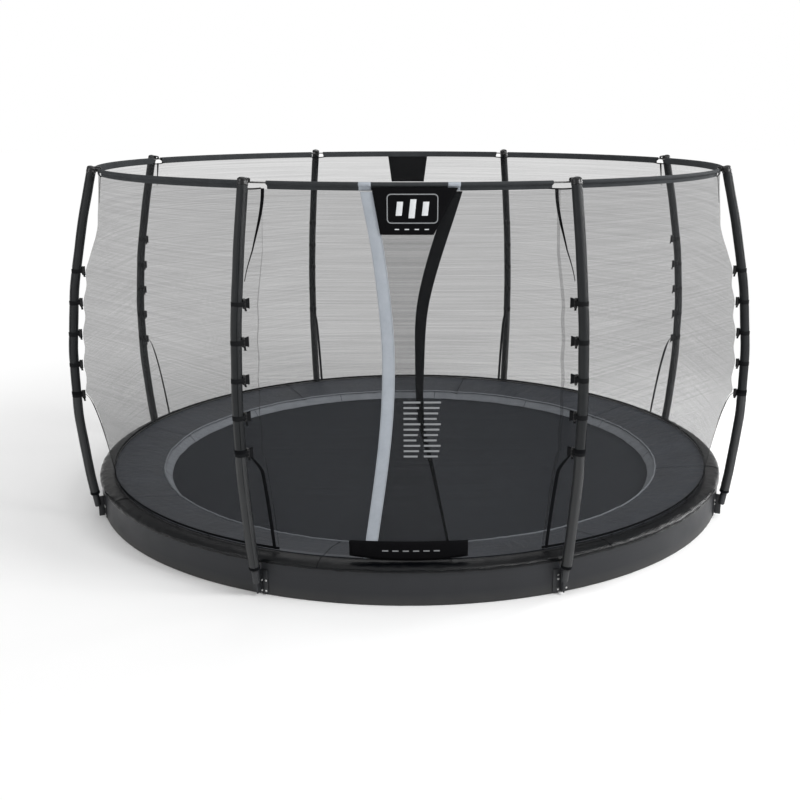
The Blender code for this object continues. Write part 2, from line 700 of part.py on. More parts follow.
def make_net(material):
    """The mesh wall with its doorway, its hem, and a tab that reaches each pole at every tie."""
    step = SECTOR / SECTOR_COLUMNS
    edge = door_edge(DOOR_INSET)
    door = [-SECTOR / 2, -edge, -edge / 2, 0, edge / 2, edge]
    azimuths = door + [SECTOR / 2 + step * i for i in range(SECTOR_COLUMNS * (SECTORS - 1) + 1)]
    heights = net_heights()
    rows = [[net_point(azimuth, height) for azimuth in azimuths] for height in heights]
    doorway = range(1, len(door) - 1)
    mesh = sheet_mesh(
        "safety_net", rows, lambda r, c: r == len(heights) - 2 or c not in doorway, NET_THICKNESS
    )
    net = add("safety_net", mesh, material)
    tabs, windows = bmesh.new(), bmesh.new()
    for index in range(SECTORS):
        hem_window(windows, index)
        for height in tie_heights():
            tie_tab(tabs, index, height)
    combine(net, tool("tie_tabs", tabs), "UNION")
    combine(net, tool("hem_windows", windows), "DIFFERENCE")


def hem_window(bm, index):
    """The notch in the hem round a pole's cap."""
    low, high = hem_levels()
    top = high + HEM_WINDOW_RISE
    before = HEM_WINDOW_ENTRY if index == 0 else HEM_WINDOW
    after = HEM_WINDOW_ENTRY if index == SECTORS - 1 else HEM_WINDOW
    middle = Vector((hem_radius(), (after - before) / 2, (low + HEM_STRIP + top) / 2))
    size = Matrix.Diagonal((HEM_WINDOW_DEPTH, before + after, top - low - HEM_STRIP, 1))
    turn = Matrix.Rotation(math.radians(pole_azimuth(index, high) - 90), 4, "Z")
    bmesh.ops.create_cube(bm, size=1, matrix=turn @ Matrix.Translation(middle) @ size)


def tie_tab(bm, index, height):
    """A strap's stub from inside the net's sheet to just short of the sleeve."""
    azimuth = pole_azimuth(index, height)
    ends = [height - POLE_FOOT + side * TIE_HEIGHT / 2 for side in (-1, 1)]
    out = POLE_FOOT_RADIUS + min(map(pole_offset, ends)) - SLEEVE_RADIUS - TIE_GAP
    start = net_radius_at_pole(height) - NET_THICKNESS / 4
    middle = polar((start + out) / 2, azimuth, height)
    size = Matrix.Diagonal((out - start, TIE_WIDTH, TIE_HEIGHT, 1))
    turn = Matrix.Rotation(math.radians(azimuth - 90), 4, "Z")
    bmesh.ops.create_cube(bm, size=1, matrix=Matrix.Translation(middle) @ turn @ size)


def overlap_at(share):
    """How far past the entrance's middle a flap's free edge reaches, at a share of its height."""
    for (low, a), (high, b) in zip(FLAP_OVERLAP, FLAP_OVERLAP[1:]):
        if share <= high:
            return a + (b - a) * (share - low) / (high - low)
    return FLAP_OVERLAP[-1][1]


def flap_mesh(name, side, offset):
    """A flap from its hinged edge, on side +1 or -1, to its curved free edge past the middle."""
    low = net_foot() + FLAP_CLEARANCE
    high = hem_levels()[0] - FLAP_CLEARANCE
    heights = [low, *[h for h in net_heights() if low + FLAP_ROW_GAP < h < high - FLAP_ROW_GAP], high]
    rows = []
    for height in heights:
        end = -side * overlap_at((height - low) / (high - low))
        start = side * door_edge(DOOR_INSET + FLAP_INSET)
        spread = [start + (end - start) * i / FLAP_COLUMNS for i in range(FLAP_COLUMNS + 1)]
        rows.append([net_point(azimuth, height, offset) for azimuth in spread])
    return sheet_mesh(name, rows, lambda r, c: True, NET_THICKNESS)


def hinge_empty(name, side, offset):
    """An empty on a flap's hinge axis. The axis is clear of the fixed net on the side the flap swings to."""
    azimuth = side * door_edge(DOOR_INSET + FLAP_INSET)
    edge = [net_point(azimuth, height, offset) for height in net_heights()]
    rim = min(point.y for point in edge) if offset > 0 else max(point.y for point in edge)
    across = min(abs(point.x) for point in edge) if offset < 0 else max(abs(point.x) for point in edge)
    hinge = bpy.data.objects.new(name, None)
    PARTS.objects.link(hinge)
    hinge.location = (side * across, rim, net_foot())
    return hinge


def make_flap(name, side, offset, material):
    """A flap whose origin is on its hinge."""
    hinge = hinge_empty(name + "_hinge", side, offset)
    mesh = flap_mesh(name, side, offset)
    mesh.transform(Matrix.Translation(-hinge.location))
    add(name, mesh, material, hinge)
    return hinge


def make_door_panel(hinge, material):
    """A tapered cloth panel on the outer flap, just under the hem."""
    high = hem_levels()[0] - FLAP_CLEARANCE - FIT
    low = high - DOOR_PANEL_HEIGHT
    proud = FLAP_OFFSET + NET_THICKNESS / 2 + DOOR_PANEL_THICKNESS / 2 + 2 * FIT
    rows = []
    for height, width in ((low, DOOR_PANEL_BOTTOM_WIDTH), (high, DOOR_PANEL_TOP_WIDTH)):
        flat = [net_point(0, height, proud + DOOR_PANEL_PROUD)] * 2
        rows.append([p + Vector((s * width / 2, 0, 0)) for p, s in zip(flat, (-1, 1))])
    mesh = sheet_mesh("door_panel", rows, lambda r, c: True, DOOR_PANEL_THICKNESS)
    mesh.transform(Matrix.Translation(-hinge.location))
    add("door_panel", mesh, material, hinge)


def main():
    black_steel = finish("black steel", (0.03, 0.032, 0.035), 0.45, 0.6)
    galvanised = finish("galvanised steel", (0.42, 0.43, 0.44), 0.4, 0.9)
    spring_steel = finish("spring steel", (0.55, 0.56, 0.58), 0.3, 1.0)
    wall = finish("grey wall sheet", (0.055, 0.057, 0.062), 0.55, 0.1)
    sleeve = finish("sleeve cover", (0.032, 0.036, 0.038), 0.6)
    plastic = finish("black plastic", (0.012, 0.012, 0.013), 0.35)
    fibreglass = finish("fibreglass rod", (0.09, 0.09, 0.09), 0.4)
    woven = finish("woven mat", (0.03, 0.033, 0.038), 0.75)
    webbing = finish("black webbing", (0.015, 0.015, 0.017), 0.8)
    vinyl = finish("charcoal vinyl", (0.03, 0.032, 0.037), 0.4)
    mesh_cloth = finish("black mesh cloth", (0.05, 0.05, 0.05), 0.9)
    cloth = finish("black cloth", (0.01, 0.01, 0.012), 0.8)

    make_wall(wall)
    make_rail(galvanised)
    stations = make_stations()
    make_poles(stations, galvanised, sleeve)
    make_brackets(stations, black_steel)
    make_caps(stations, plastic)
    make_top_ring(fibreglass)
    make_mat(woven, webbing)
    make_springs(spring_steel)
    make_pad(vinyl)
    make_net(mesh_cloth)
    outer = make_flap("outer_flap", 1, FLAP_OFFSET, mesh_cloth)
    make_flap("inner_flap", -1, -FLAP_OFFSET, mesh_cloth)
    make_door_panel(outer, cloth)


PARTS, TOOLS = start_scene("trampoline")
main()
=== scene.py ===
"""Looks for the in-ground trampoline: its visible pieces and their materials, the floor, lights and camera.

Metres, +Z up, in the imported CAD's frame. An azimuth is counted in degrees from the entrance (-Y), positive
towards +X. Pole 1 stands at +22.5 and the others follow round the ring, so pole 8 stands at -22.5.
"""
import functools
import math
from math import cos, degrees, pi, radians, sin

import bpy
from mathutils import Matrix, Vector, noise


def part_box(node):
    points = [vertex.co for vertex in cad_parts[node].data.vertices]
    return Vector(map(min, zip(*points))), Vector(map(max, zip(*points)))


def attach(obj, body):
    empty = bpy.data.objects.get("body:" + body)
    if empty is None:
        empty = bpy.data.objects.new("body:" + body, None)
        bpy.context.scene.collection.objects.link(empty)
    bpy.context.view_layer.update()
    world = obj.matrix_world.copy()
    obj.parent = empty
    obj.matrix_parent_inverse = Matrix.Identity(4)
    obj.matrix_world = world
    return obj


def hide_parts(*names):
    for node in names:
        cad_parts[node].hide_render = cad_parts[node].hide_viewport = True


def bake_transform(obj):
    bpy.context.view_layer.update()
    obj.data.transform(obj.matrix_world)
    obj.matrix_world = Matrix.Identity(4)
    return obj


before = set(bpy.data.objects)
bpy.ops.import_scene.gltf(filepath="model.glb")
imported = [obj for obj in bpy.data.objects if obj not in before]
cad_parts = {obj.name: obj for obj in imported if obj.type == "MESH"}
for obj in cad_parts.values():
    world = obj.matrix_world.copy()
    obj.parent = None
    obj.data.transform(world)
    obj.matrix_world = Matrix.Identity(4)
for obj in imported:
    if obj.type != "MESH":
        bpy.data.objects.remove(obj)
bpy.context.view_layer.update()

UP = Vector((0, 0, 1))
SECTORS = 8
SECTOR = 360 / SECTORS
SECTOR_STEPS = 36  # columns of the net in one sector
SMOOTH_ANGLE = radians(40)
ENTRY_POLES = (0, SECTORS - 1)  # indexes of the two poles beside the entrance


def spread(low, high, count):
    """Values from low to high in count equal steps, both ends among them."""
    return [low + (high - low) * i / count for i in range(count + 1)]


# ---- sizes from the frame


def low_of(node):
    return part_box(node)[0]


def high_of(node):
    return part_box(node)[1]


WALL_RADIUS = -low_of("wall_panel_1").y
WALL_TOP = high_of("wall_panel_1").z
RAIL_TUBE = (high_of("frame_rail_1").z - low_of("frame_rail_1").z) / 2
RAIL_Z = low_of("frame_rail_1").z + RAIL_TUBE
RAIL_RADIUS = -low_of("frame_rail_1").y - RAIL_TUBE
MAT_RADIUS = high_of("jumping_mat").x
MAT_TOP = high_of("jumping_mat").z
BAND_RADIUS = high_of("mat_edge_band").x
ROD_RADIUS = (high_of("top_ring").z - low_of("top_ring").z) / 2
ROD_Z = low_of("top_ring").z + ROD_RADIUS
ROD_RING = high_of("top_ring").x - ROD_RADIUS
HEM_TOP = high_of("safety_net").z
NET_FOOT = low_of("safety_net").z
PAD_OUTER = high_of("safety_pad").x

# Sleeves, net and flaps
HEM_LOW = HEM_TOP - 0.045
HEM_RADIUS = ROD_RING - 0.011
NET_FOOT_RADIUS = RAIL_RADIUS - 0.040
SLEEVE_RADIUS = 0.028
SLEEVE_SIDES = 28
TIE_REACH = 0.024  # sleeve to net at a tie
TIE_TURN = 40  # degrees that the ties beside the entrance turn towards it
TIE_HEIGHTS = spread(0.833, HEM_LOW - 0.562, 4)
FREE_HANG = 0.310  # the net hangs nearly straight for this far below the hem
HANG_OUT = 0.035
SCALLOP = 0.013  # how far the net's edge draws in between two ties
WINDOW = 0.050  # half the gap in the hem at a pole
WINDOW_ENTRY = 0.110  # and on the entrance's side of the two front poles
NET_EDGE = SECTOR / 2 - degrees(0.074 / ROD_RING)  # the fixed net's edges beside the entrance
FLAP_ROOT = NET_EDGE - degrees(0.011 / ROD_RING)
FLAP_OFFSET = 0.012
TAPE_WIDTH = 0.065
TAPE_LAP = 0.004  # how far the tape and the band sit in from the flaps' edges
MIDDLE_BAR = 0.012, 2.083  # x and height of the middle of the door panel's motif
SURROUND = 0.38  # strength of the surround as light; seen, it is white

# (height, x) of the outer flap's tape and the inner flap's band
TAPE_LINE = (
    (0.238, -0.222), (0.786, -0.144), (1.112, -0.115), (1.428, -0.113), (1.836, -0.150), (2.166, -0.203),
)
BAND_LINE = (
    (0.238, 0.220), (0.720, 0.120), (0.995, 0.060), (1.264, 0.051), (1.629, 0.071), (2.166, 0.218),
)


# ---- points and curves


def polar(radius, azimuth, height=0.0):
    angle = radians(azimuth)
    return Vector((radius * sin(angle), -radius * cos(angle), height))


def azimuth_of(point):
    return degrees(math.atan2(point.x, -point.y))


def ease(share):
    share = min(max(share, 0.0), 1.0)
    return share * share * (3 - 2 * share)


def rough(x, y, z=0.0):
    """Smooth noise from -1 to 1, the same on every run."""
    return noise.noise(Vector((x, y, z)))


def curve_value(points, at):
    """Smooth curve through (position, value) points, held level past its ends."""
    if at <= points[0][0]:
        return points[0][1]
    if at >= points[-1][0]:
        return points[-1][1]
    pairs = zip([points[0], *points], [*points[1:], points[-1]])
    slopes = [(b[1] - a[1]) / (b[0] - a[0]) for a, b in pairs]
    for i, (low, high) in enumerate(zip(points, points[1:])):
        if at <= high[0]:
            span = high[0] - low[0]
            t = (at - low[0]) / span
            value = low[1] * (1 + 2 * t) * (1 - t) ** 2 + high[1] * t * t * (3 - 2 * t)
            return value + span * t * (1 - t) * (slopes[i] * (1 - t) - slopes[i + 1] * t)


def resampled(points, spacing):
    """Points a set distance apart along a line of straight stretches."""
    made = []
    for a, b in zip(points, points[1:]):
        count = max(round((b - a).length / spacing), 1)
        made += [a.lerp(b, i / count) for i in range(count)]
    return [*made, points[-1].copy()]


def relaxed(points, passes):
    """The same line with its corners rounded off, ends kept."""
    for _ in range(passes):
        inner = [(a + 2 * b + c) / 4 for a, b, c in zip(points, points[1:], points[2:])]
        points = [points[0], *inner, points[-1]]
    return points


def centre_line(node):
    """The middle of a bent tube in the frame, from its lowest ring of corners to its highest."""
    points = sorted((v.co.copy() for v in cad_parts[node].data.vertices), key=lambda p: p.z)
    rings = [[points[0]]]
    for a, b in zip(points, points[1:]):
        if b.z - a.z > 0.03:
            rings.append([])
        rings[-1].append(b)
    return [sum(ring, Vector()) / len(ring) for ring in rings]


POLES = [relaxed(resampled(centre_line(f"pole_sleeve_{i + 1}"), 0.02), 12) for i in range(SECTORS)]


def pole_point(index, height):
    """A pole's centre at a height. Index 0 is pole 1."""
    line = POLES[index % SECTORS]
    for a, b in zip(line, line[1:]):
        if height <= b.z:
            return a.lerp(b, max((height - a.z) / (b.z - a.z), 0))
    return line[-1].copy()


@functools.lru_cache(maxsize=None)
def pole_azimuth(index, height):
    station = (index + 0.5) * SECTOR
    return station + (azimuth_of(pole_point(index, height)) - station + 180) % 360 - 180


@functools.lru_cache(maxsize=None)
def net_radius_at_pole(height):
    first, last = TIE_HEIGHTS[0], TIE_HEIGHTS[-1]

    def at_tie(level):
        centre = pole_point(1, level)
        return math.hypot(centre.x, centre.y) - SLEEVE_RADIUS - TIE_REACH

    if height < first:
        share = min((first - height) / (first - NET_FOOT), 1.0) ** 0.6
        return at_tie(first) + (NET_FOOT_RADIUS - at_tie(first)) * share
    if height > last:
        hang, hung = HEM_LOW - FREE_HANG, HEM_RADIUS + HANG_OUT
        if height < hang:
            return at_tie(last) + (hung - at_tie(last)) * (height - last) / (hang - last)
        return hung + (HEM_RADIUS - hung) * min((height - hang) / (HEM_LOW - hang), 1.0)
    phase = (height - first) / (TIE_HEIGHTS[1] - first)
    return at_tie(height) - SCALLOP * sin(pi * phase) ** 2


def net_radius_between(height):
    return NET_FOOT_RADIUS + (HEM_RADIUS - NET_FOOT_RADIUS) * (height - NET_FOOT) / (HEM_TOP - NET_FOOT)


def net_point(azimuth, height, offset=0.0):
    """Point of the enclosure's surface."""
    height_key = round(height, 4)
    index = math.floor(azimuth / SECTOR - 0.5)
    share = azimuth / SECTOR - 0.5 - index
    low, high = pole_azimuth(index, height_key), pole_azimuth(index + 1, height_key)
    pull = (2 * abs(share - 0.5)) ** 2
    middle = net_radius_between(height)
    radius = middle + (net_radius_at_pole(height_key) - middle) * pull
    return polar(radius + offset, low + share * (high - low), height)


def door_point(x, height, offset):
    """Point of the enclosure's surface in front of the entrance, from its x."""
    return net_point(degrees(math.asin(x / net_radius_between(height))), height, offset)


def arc(radius, height, start, end, steps):
    return [polar(radius, azimuth, height) for azimuth in spread(start, end, steps)]


def hoop(radius, height, count):
    """A full circle of points about the trampoline's axis."""
    return arc(radius, height, 0, 360 - 360 / count, count - 1)


def circle(centre, across, up, angles):
    """Points round a centre at angles in degrees. across and up are as long as the radius."""
    return [centre + across * cos(radians(angle)) + up * sin(radians(angle)) for angle in angles]


def flat_arc(x, y, size, angles):
    """(x, y) points of an arc, at angles in degrees."""
    return [(x + size * cos(radians(angle)), y + size * sin(radians(angle))) for angle in angles]


# ---- shapes: (points, faces, corners in metres)


def running(points):
    """Distance along a line at each of its points."""
    total, made = 0.0, [0.0]
    for a, b in zip(points, points[1:]):
        total += (b - a).length
        made.append(total)
    return made


def grid(rows, wrap=False):
    """A sheet through rows of points. wrap joins each row's end to its start."""
    width = len(rows[0])
    middle = rows[len(rows) // 2]
    across = running([*middle, middle[0]] if wrap else middle)
    along = running([row[width // 2] for row in rows])
    faces, corners = [], []
    for r in range(len(rows) - 1):
        for c in range(width if wrap else width - 1):
            right = (c + 1) % width
            here, above = r * width, (r + 1) * width
            faces.append((here + c, here + right, above + right, above + c))
            low, high = along[r], along[r + 1]
            corners.append(((across[c], low), (across[c + 1], low), (across[c + 1], high), (across[c], high)))
    return [p for row in rows for p in row], faces, corners


def tube(path, radius, sides=12, loop=False, hint=UP, flat=1.0, open_ends=False):
    """A tube along a path. radius is a number or one number a point; flat squeezes it along the hint."""
    radii = radius if isinstance(radius, (list, tuple)) else [radius] * len(path)
    rows = []
    for i, point in enumerate(path):
        before = path[i - 1] if loop or i else path[0]
        after = path[(i + 1) % len(path)] if loop or i < len(path) - 1 else path[-1]
        ahead = (after - before).normalized()
        side = ahead.cross(hint).normalized()
        up = side.cross(ahead) * flat
        rows.append(circle(point, side * radii[i], up * radii[i], spread(0, 360, sides)[:-1]))
    if loop:
        rows.append([p.copy() for p in rows[0]])
    points, faces, corners = grid(rows, wrap=True)
    if not (loop or open_ends):
        for first, order in ((0, range(sides - 1, -1, -1)), ((len(rows) - 1) * sides, range(sides))):
            faces.append(tuple(first + k for k in order))
            corners.append(tuple((points[first + k].x, points[first + k].y) for k in order))
    return points, faces, corners


def ribbon(middles, sides, half_width, thickness):
    """A flat strap along middles; sides are the unit vectors across it. Thin, with rounded edges."""
    outline = ((-1, 0), (-0.9, 1), (0, 1), (0.9, 1), (1, 0), (0.9, -1), (0, -1), (-0.9, -1))
    rows = []
    for i, (point, side) in enumerate(zip(middles, sides)):
        before, after = middles[max(i - 1, 0)], middles[min(i + 1, len(middles) - 1)]
        out = side.cross(after - before).normalized() * thickness / 2
        half = half_width[i] if isinstance(half_width, list) else half_width
        rows.append([point + side * half * across + out * lift for across, lift in outline])
    return grid(rows, wrap=True)


def level_ribbon(middles, half_width, thickness):
    """A strap that runs level, its width upright."""
    return ribbon(middles, [UP] * len(middles), half_width, thickness)


def brick(centre, across, up, out, bevel):
    """A small block with its corners cut, from three half-size vectors."""
    near = 1 - bevel
    outline = ((-1, -near), (-near, -1), (near, -1), (1, -near), (1, near), (near, 1), (-near, 1), (-1, near))
    rows = []
    for depth, size in ((-1, near), (-near, 1), (near, 1), (1, near)):
        rows.append([centre + across * x * size + up * y * size + out * depth for x, y in outline])
    points, faces, corners = grid(rows, wrap=True)
    for first in (0, 3 * len(outline)):
        faces.append(tuple(first + k for k in range(len(outline))))
        corners.append(tuple((x * across.length, y * up.length) for x, y in outline))
    return points, faces, corners


def piece(name, shapes, paint, body="frame", stands_for=(), thickness=0.0):
    """One object from several shapes, with its UVs in metres, riding on a body unless that is None."""
    points, faces, corners = [], [], []
    for shape in shapes:
        shift = len(points)
        points += shape[0]
        faces += [tuple(index + shift for index in face) for face in shape[1]]
        corners += shape[2]
    mesh = bpy.data.meshes.new(name)
    mesh.from_pydata(points, [], faces)
    layer = mesh.uv_layers.new(name="metres")
    layer.data.foreach_set("uv", [value for face in corners for pair in face for value in pair])
    mesh.materials.append(paint)
    mesh.shade_smooth()
    mesh.set_sharp_from_angle(angle=SMOOTH_ANGLE)
    obj = bpy.data.objects.new(name, mesh)
    bpy.context.scene.collection.objects.link(obj)
    if thickness:
        thicken(obj, thickness)
    if body:
        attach(obj, body)
    if stands_for:
        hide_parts(*stands_for)
    return obj


def thicken(obj, thickness):
    """Give a sheet its thickness, applied."""
    modifier = obj.modifiers.new("thickness", "SOLIDIFY")
    modifier.thickness = thickness
    modifier.offset = 0
    graph = bpy.context.evaluated_depsgraph_get()
    obj.data = bpy.data.meshes.new_from_object(obj.evaluated_get(graph))
    obj.modifiers.clear()


# ---- materials


def node(tree, kind, sockets=(), **settings):
    """A shader node with its settings, and its sockets set or linked."""
    made = tree.nodes.new("ShaderNode" + kind)
    for key, value in settings.items():
        setattr(made, key, value)
    for key, value in dict(sockets).items():
        if isinstance(value, bpy.types.NodeSocket):
            tree.links.new(value, made.inputs[key])
        else:
            made.inputs[key].default_value = value
    return made


class Paint:
    """A Principled material and the nodes that drive it."""

    def __init__(self, name, roughness, **sockets):
        """The shader's socket names are written with _ for a space."""
        self.material = bpy.data.materials.new(name + "_paint")
        self.material.use_nodes = True
        self.tree = self.material.node_tree
        self.shader = self.tree.nodes["Principled BSDF"]
        for key, value in {"Roughness": roughness, **sockets}.items():
            self.shader.inputs[key.replace("_", " ")].default_value = value

    def node(self, kind, sockets=(), **settings):
        return node(self.tree, kind, sockets, **settings)

    def drive(self, socket, value):
        self.tree.links.new(value, self.shader.inputs[socket])

    def uv(self, across=1.0, along=1.0):
        """The piece's UVs, which are in metres, times a factor each way."""
        uv = self.node("UVMap", uv_map="metres").outputs[0]
        return self.node("Mapping", {"Vector": uv, "Scale": (across, along, 1)}).outputs[0]

    def place(self):
        return self.node("TexCoord").outputs["Object"]

    def noise(self, vector, scale, detail=3.0, roughness=0.55):
        sockets = {"Vector": vector, "Scale": scale, "Detail": detail, "Roughness": roughness}
        return self.node("TexNoise", sockets).outputs["Fac"]

    def cells(self, vector, pitch, feature):
        return self.node("TexVoronoi", {"Vector": vector, "Scale": 1 / pitch}, feature=feature).outputs[0]

    def bands(self, vector, pitch, direction):
        """Bands one pitch apart, in metres where the vector is in metres."""
        sockets = {"Vector": vector, "Scale": pi / 10 / pitch}
        return self.node("TexWave", sockets, bands_direction=direction).outputs["Fac"]

    def ramp(self, value, from_low, from_high, to_low=0.0, to_high=1.0, **settings):
        sockets = {"Value": value, "From Min": from_low, "From Max": from_high}
        return self.node("MapRange", {**sockets, "To Min": to_low, "To Max": to_high}, **settings).outputs[0]

    def maths(self, operation, a, b):
        return self.node("Math", {0: a, 1: b}, operation=operation).outputs[0]

    def total(self, *parts):
        """The sum of (value, weight) pairs."""
        total = 0.0
        for value, weight in parts:
            total = self.maths("ADD", total, self.maths("MULTIPLY", value, weight))
        return total

    def mix(self, factor, *colours):
        """Mix of two colours, each (r, g, b) or a node's output."""
        a, b = (c if isinstance(c, bpy.types.NodeSocket) else (*c, 1) for c in colours)
        return self.node("Mix", {"Factor": factor, 6: a, 7: b}, data_type="RGBA").outputs[2]

    def colours(self, factor, dark, light):
        self.drive("Base Color", self.mix(factor, dark, light))

    def bump(self, height, strength, distance):
        made = self.node("Bump", {"Height": height, "Strength": strength, "Distance": distance})
        self.drive("Normal", made.outputs[0])


def cloth_paint(name, dark, light, pitch, roughness=0.85, relief=0.0004, shine=0.15):
    """Woven cloth or webbing: cross threads at a pitch in metres, blotches, and slight fading."""
    paint = Paint(name, roughness, Specular_IOR_Level=shine)
    uv = paint.uv()
    threads = paint.maths("MULTIPLY", paint.bands(uv, pitch, "X"), paint.bands(uv, pitch * 1.15, "Y"))
    tone = paint.total((threads, 0.35), (paint.noise(uv, 9.0), 0.5), (paint.noise(uv, 60.0, 4.0), 0.25))
    paint.colours(paint.ramp(tone, 0.2, 0.75), dark, light)
    paint.bump(threads, 0.6, relief)
    return paint.material


def vinyl_paint(name, dark, light, roughness, crease, drawn=False, **sockets):
    """Coated fabric: grain, soft long creases, dust in patches. A drawn film's gloss stretches along it."""
    paint = Paint(name, roughness, **sockets)
    uv = paint.uv()
    grain = paint.ramp(paint.cells(uv, 0.0012, "DISTANCE_TO_EDGE"), 0.0, 0.12)
    creases = paint.noise(paint.uv(5.0, 1.6), 3.2, 4.0, 0.6)
    patches = paint.noise(uv, 2.6, 5.0, 0.62)
    paint.bump(paint.total((grain, 0.02), (creases, crease)), 0.7, 0.012)
    paint.colours(paint.ramp(patches, 0.3, 0.72), dark, light)
    paint.drive("Roughness", paint.ramp(patches, 0.3, 0.75, roughness - 0.06, roughness + 0.12))
    if drawn:
        paint.drive("Tangent", paint.node("Tangent", direction_type="UV_MAP", uv_map="metres").outputs[0])
    return paint.material


def net_paint(name, cover, thread):
    """Knitted mesh: holes at their real pitch, pulled rows that look like level streaks, denser folds."""
    paint = Paint(name, 0.8, Specular_IOR_Level=0.15)
    uv = paint.uv()
    mesh = paint.maths("MAXIMUM", paint.bands(uv, 0.0036, "X"), paint.bands(uv, 0.0030, "Y"))
    pulled = paint.noise(paint.uv(0.28, 46.0), 2.2, 2.0, 0.5)
    streaks = paint.ramp(pulled, 0.36, 0.66, cover * 0.86, cover * 1.16)
    folds = paint.ramp(paint.noise(paint.uv(1.1, 7.0), 1.4, 2.0, 0.5), 0.35, 0.65, -0.012, 0.012)
    holes = paint.ramp(mesh, 0.25, 0.95, -0.16, 0.14)
    paint.drive("Alpha", paint.total((streaks, 1), (folds, 1), (holes, 1)))
    paint.colours(pulled, [c * 0.8 for c in thread], [c * 1.3 for c in thread])
    paint.bump(mesh, 0.3, 0.0006)
    return paint.material


def steel_paint(name, dark, light, roughness, metallic, spangle):
    """Metal with a spangle or orange-peel pattern, dull patches and fine scratches."""
    paint = Paint(name, roughness, Metallic=metallic)
    place = paint.place()
    cells = paint.cells(place, spangle, "F1")
    patches = paint.noise(place, 14.0, 5.0)
    drawn_out = paint.node("Mapping", {"Vector": place, "Scale": (1, 1, 0.06)}).outputs[0]
    paint.colours(paint.ramp(paint.total((cells, 0.45), (patches, 0.6)), 0.25, 0.85), dark, light)
    paint.drive("Roughness", paint.ramp(patches, 0.3, 0.7, roughness - 0.08, roughness + 0.12))
    paint.bump(paint.total((paint.noise(drawn_out, 420.0), 1), (cells, 1)), 0.15, 0.0006)
    return paint.material


def wall_paint():
    """Grey coated sheet: orange peel, faint drawn lines along it, dust towards the foot."""
    paint = Paint("wall_sheet", 0.42, Specular_IOR_Level=0.28)
    place = paint.place()
    height = paint.node("SeparateXYZ", {0: place}).outputs[2]
    drawn = paint.noise(paint.uv(0.7, 24.0), 3.0, 4.0)
    cloud = paint.noise(place, 3.0, 5.0)
    dust = paint.maths("MULTIPLY", paint.ramp(height, 0.0, 0.07, 0.75, 0.0), cloud)
    tone = paint.total((paint.ramp(cloud, 0.3, 0.7, 0.0, 0.45), 1), (drawn, 0.35))
    sheet = paint.mix(tone, (0.019, 0.020, 0.023), (0.031, 0.033, 0.037))
    paint.colours(dust, sheet, (0.075, 0.072, 0.066))
    paint.drive("Roughness", paint.ramp(cloud, 0.3, 0.7, 0.36, 0.54))
    paint.bump(paint.total((paint.noise(place, 380.0, 2.0), 1), (drawn, 1)), 0.12, 0.0015)
    return paint.material


def plastic_paint(name, colour, roughness):
    """Moulded plastic with a fine sparked texture and rubbed edges."""
    paint = Paint(name, roughness, Specular_IOR_Level=0.5)
    place = paint.place()
    rubbed = paint.noise(place, 40.0, 4.0)
    paint.colours(paint.ramp(rubbed, 0.3, 0.7), colour, [c * 1.9 for c in colour])
    paint.drive("Roughness", paint.ramp(rubbed, 0.3, 0.7, roughness - 0.05, roughness + 0.1))
    paint.bump(paint.noise(place, 900.0, 2.0), 0.25, 0.0004)
    return paint.material


def rod_paint():
    """Fibreglass rod: fibres that run along it under a thin gloss."""
    paint = Paint("fibreglass_rod", 0.35, Coat_Weight=0.3, Coat_Roughness=0.2)
    fibres = paint.noise(paint.uv(900.0, 4.0), 1.0)
    paint.colours(paint.ramp(fibres, 0.3, 0.7), (0.03, 0.03, 0.03), (0.09, 0.09, 0.088))
    paint.bump(fibres, 0.2, 0.0003)
    return paint.material


def floor_paint():
    """Pale floor whose far part glows white, so that no horizon shows."""
    paint = Paint("floor", 0.9, Specular_IOR_Level=0.05, Emission_Color=(1, 1, 1, 1))
    place = paint.place()
    distance = paint.node("VectorMath", {0: place}, operation="LENGTH").outputs["Value"]
    far = paint.ramp(distance, 2.5, 5.6, interpolation_type="SMOOTHSTEP")
    pale = paint.mix(paint.noise(place, 0.35), (0.93, 0.93, 0.93), (0.95, 0.95, 0.95))
    paint.colours(far, pale, (0.0, 0.0, 0.0))
    paint.drive("Emission Strength", paint.ramp(far, 0.0, 1.0, 0.04, 1.0))
    return paint.material


MESH_CLOTH = net_paint("mesh_cloth", 0.31, (0.020, 0.021, 0.022))
FLAP_CLOTH = net_paint("flap_cloth", 0.28, (0.018, 0.019, 0.020))
WEBBING = cloth_paint("black_webbing", (0.003, 0.003, 0.004), (0.010, 0.011, 0.012), 0.0022)
# The hem is black-ish webbing. Its lighter dark grey colour is painted sheen, not the webbing's own colour.
HEM_CLOTH_PAINTED_SHEEN = cloth_paint("hem_cloth_painted_sheen", (0.024, 0.026, 0.028), (0.052, 0.056, 0.060), 0.0018)
SEAM_CLOTH = cloth_paint("seam_cloth", (0.002, 0.002, 0.003), (0.007, 0.008, 0.009), 0.0020, shine=0.08)
GREY_TAPE = cloth_paint("grey_tape", (0.30, 0.33, 0.37), (0.44, 0.47, 0.51), 0.0016, 0.6, 0.0002)
DOOR_CLOTH = cloth_paint("door_cloth", (0.0015, 0.0015, 0.002), (0.005, 0.005, 0.006), 0.0012, shine=0.08)
PALE_PRINT = cloth_paint("pale_print", (0.60, 0.62, 0.64), (0.80, 0.81, 0.82), 0.0012, 0.55, 0.0001)
GREY_PRINT = cloth_paint("grey_print", (0.20, 0.21, 0.22), (0.34, 0.35, 0.36), 0.0012, 0.6, 0.0001)
SLEEVE_DARK, SLEEVE_LIGHT = (0.007, 0.008, 0.009), (0.015, 0.017, 0.019)
SLEEVE_CLOTH = cloth_paint("sleeve_cloth", (0.006, 0.007, 0.008), SLEEVE_LIGHT, 0.0016, 0.42, shine=0.3)
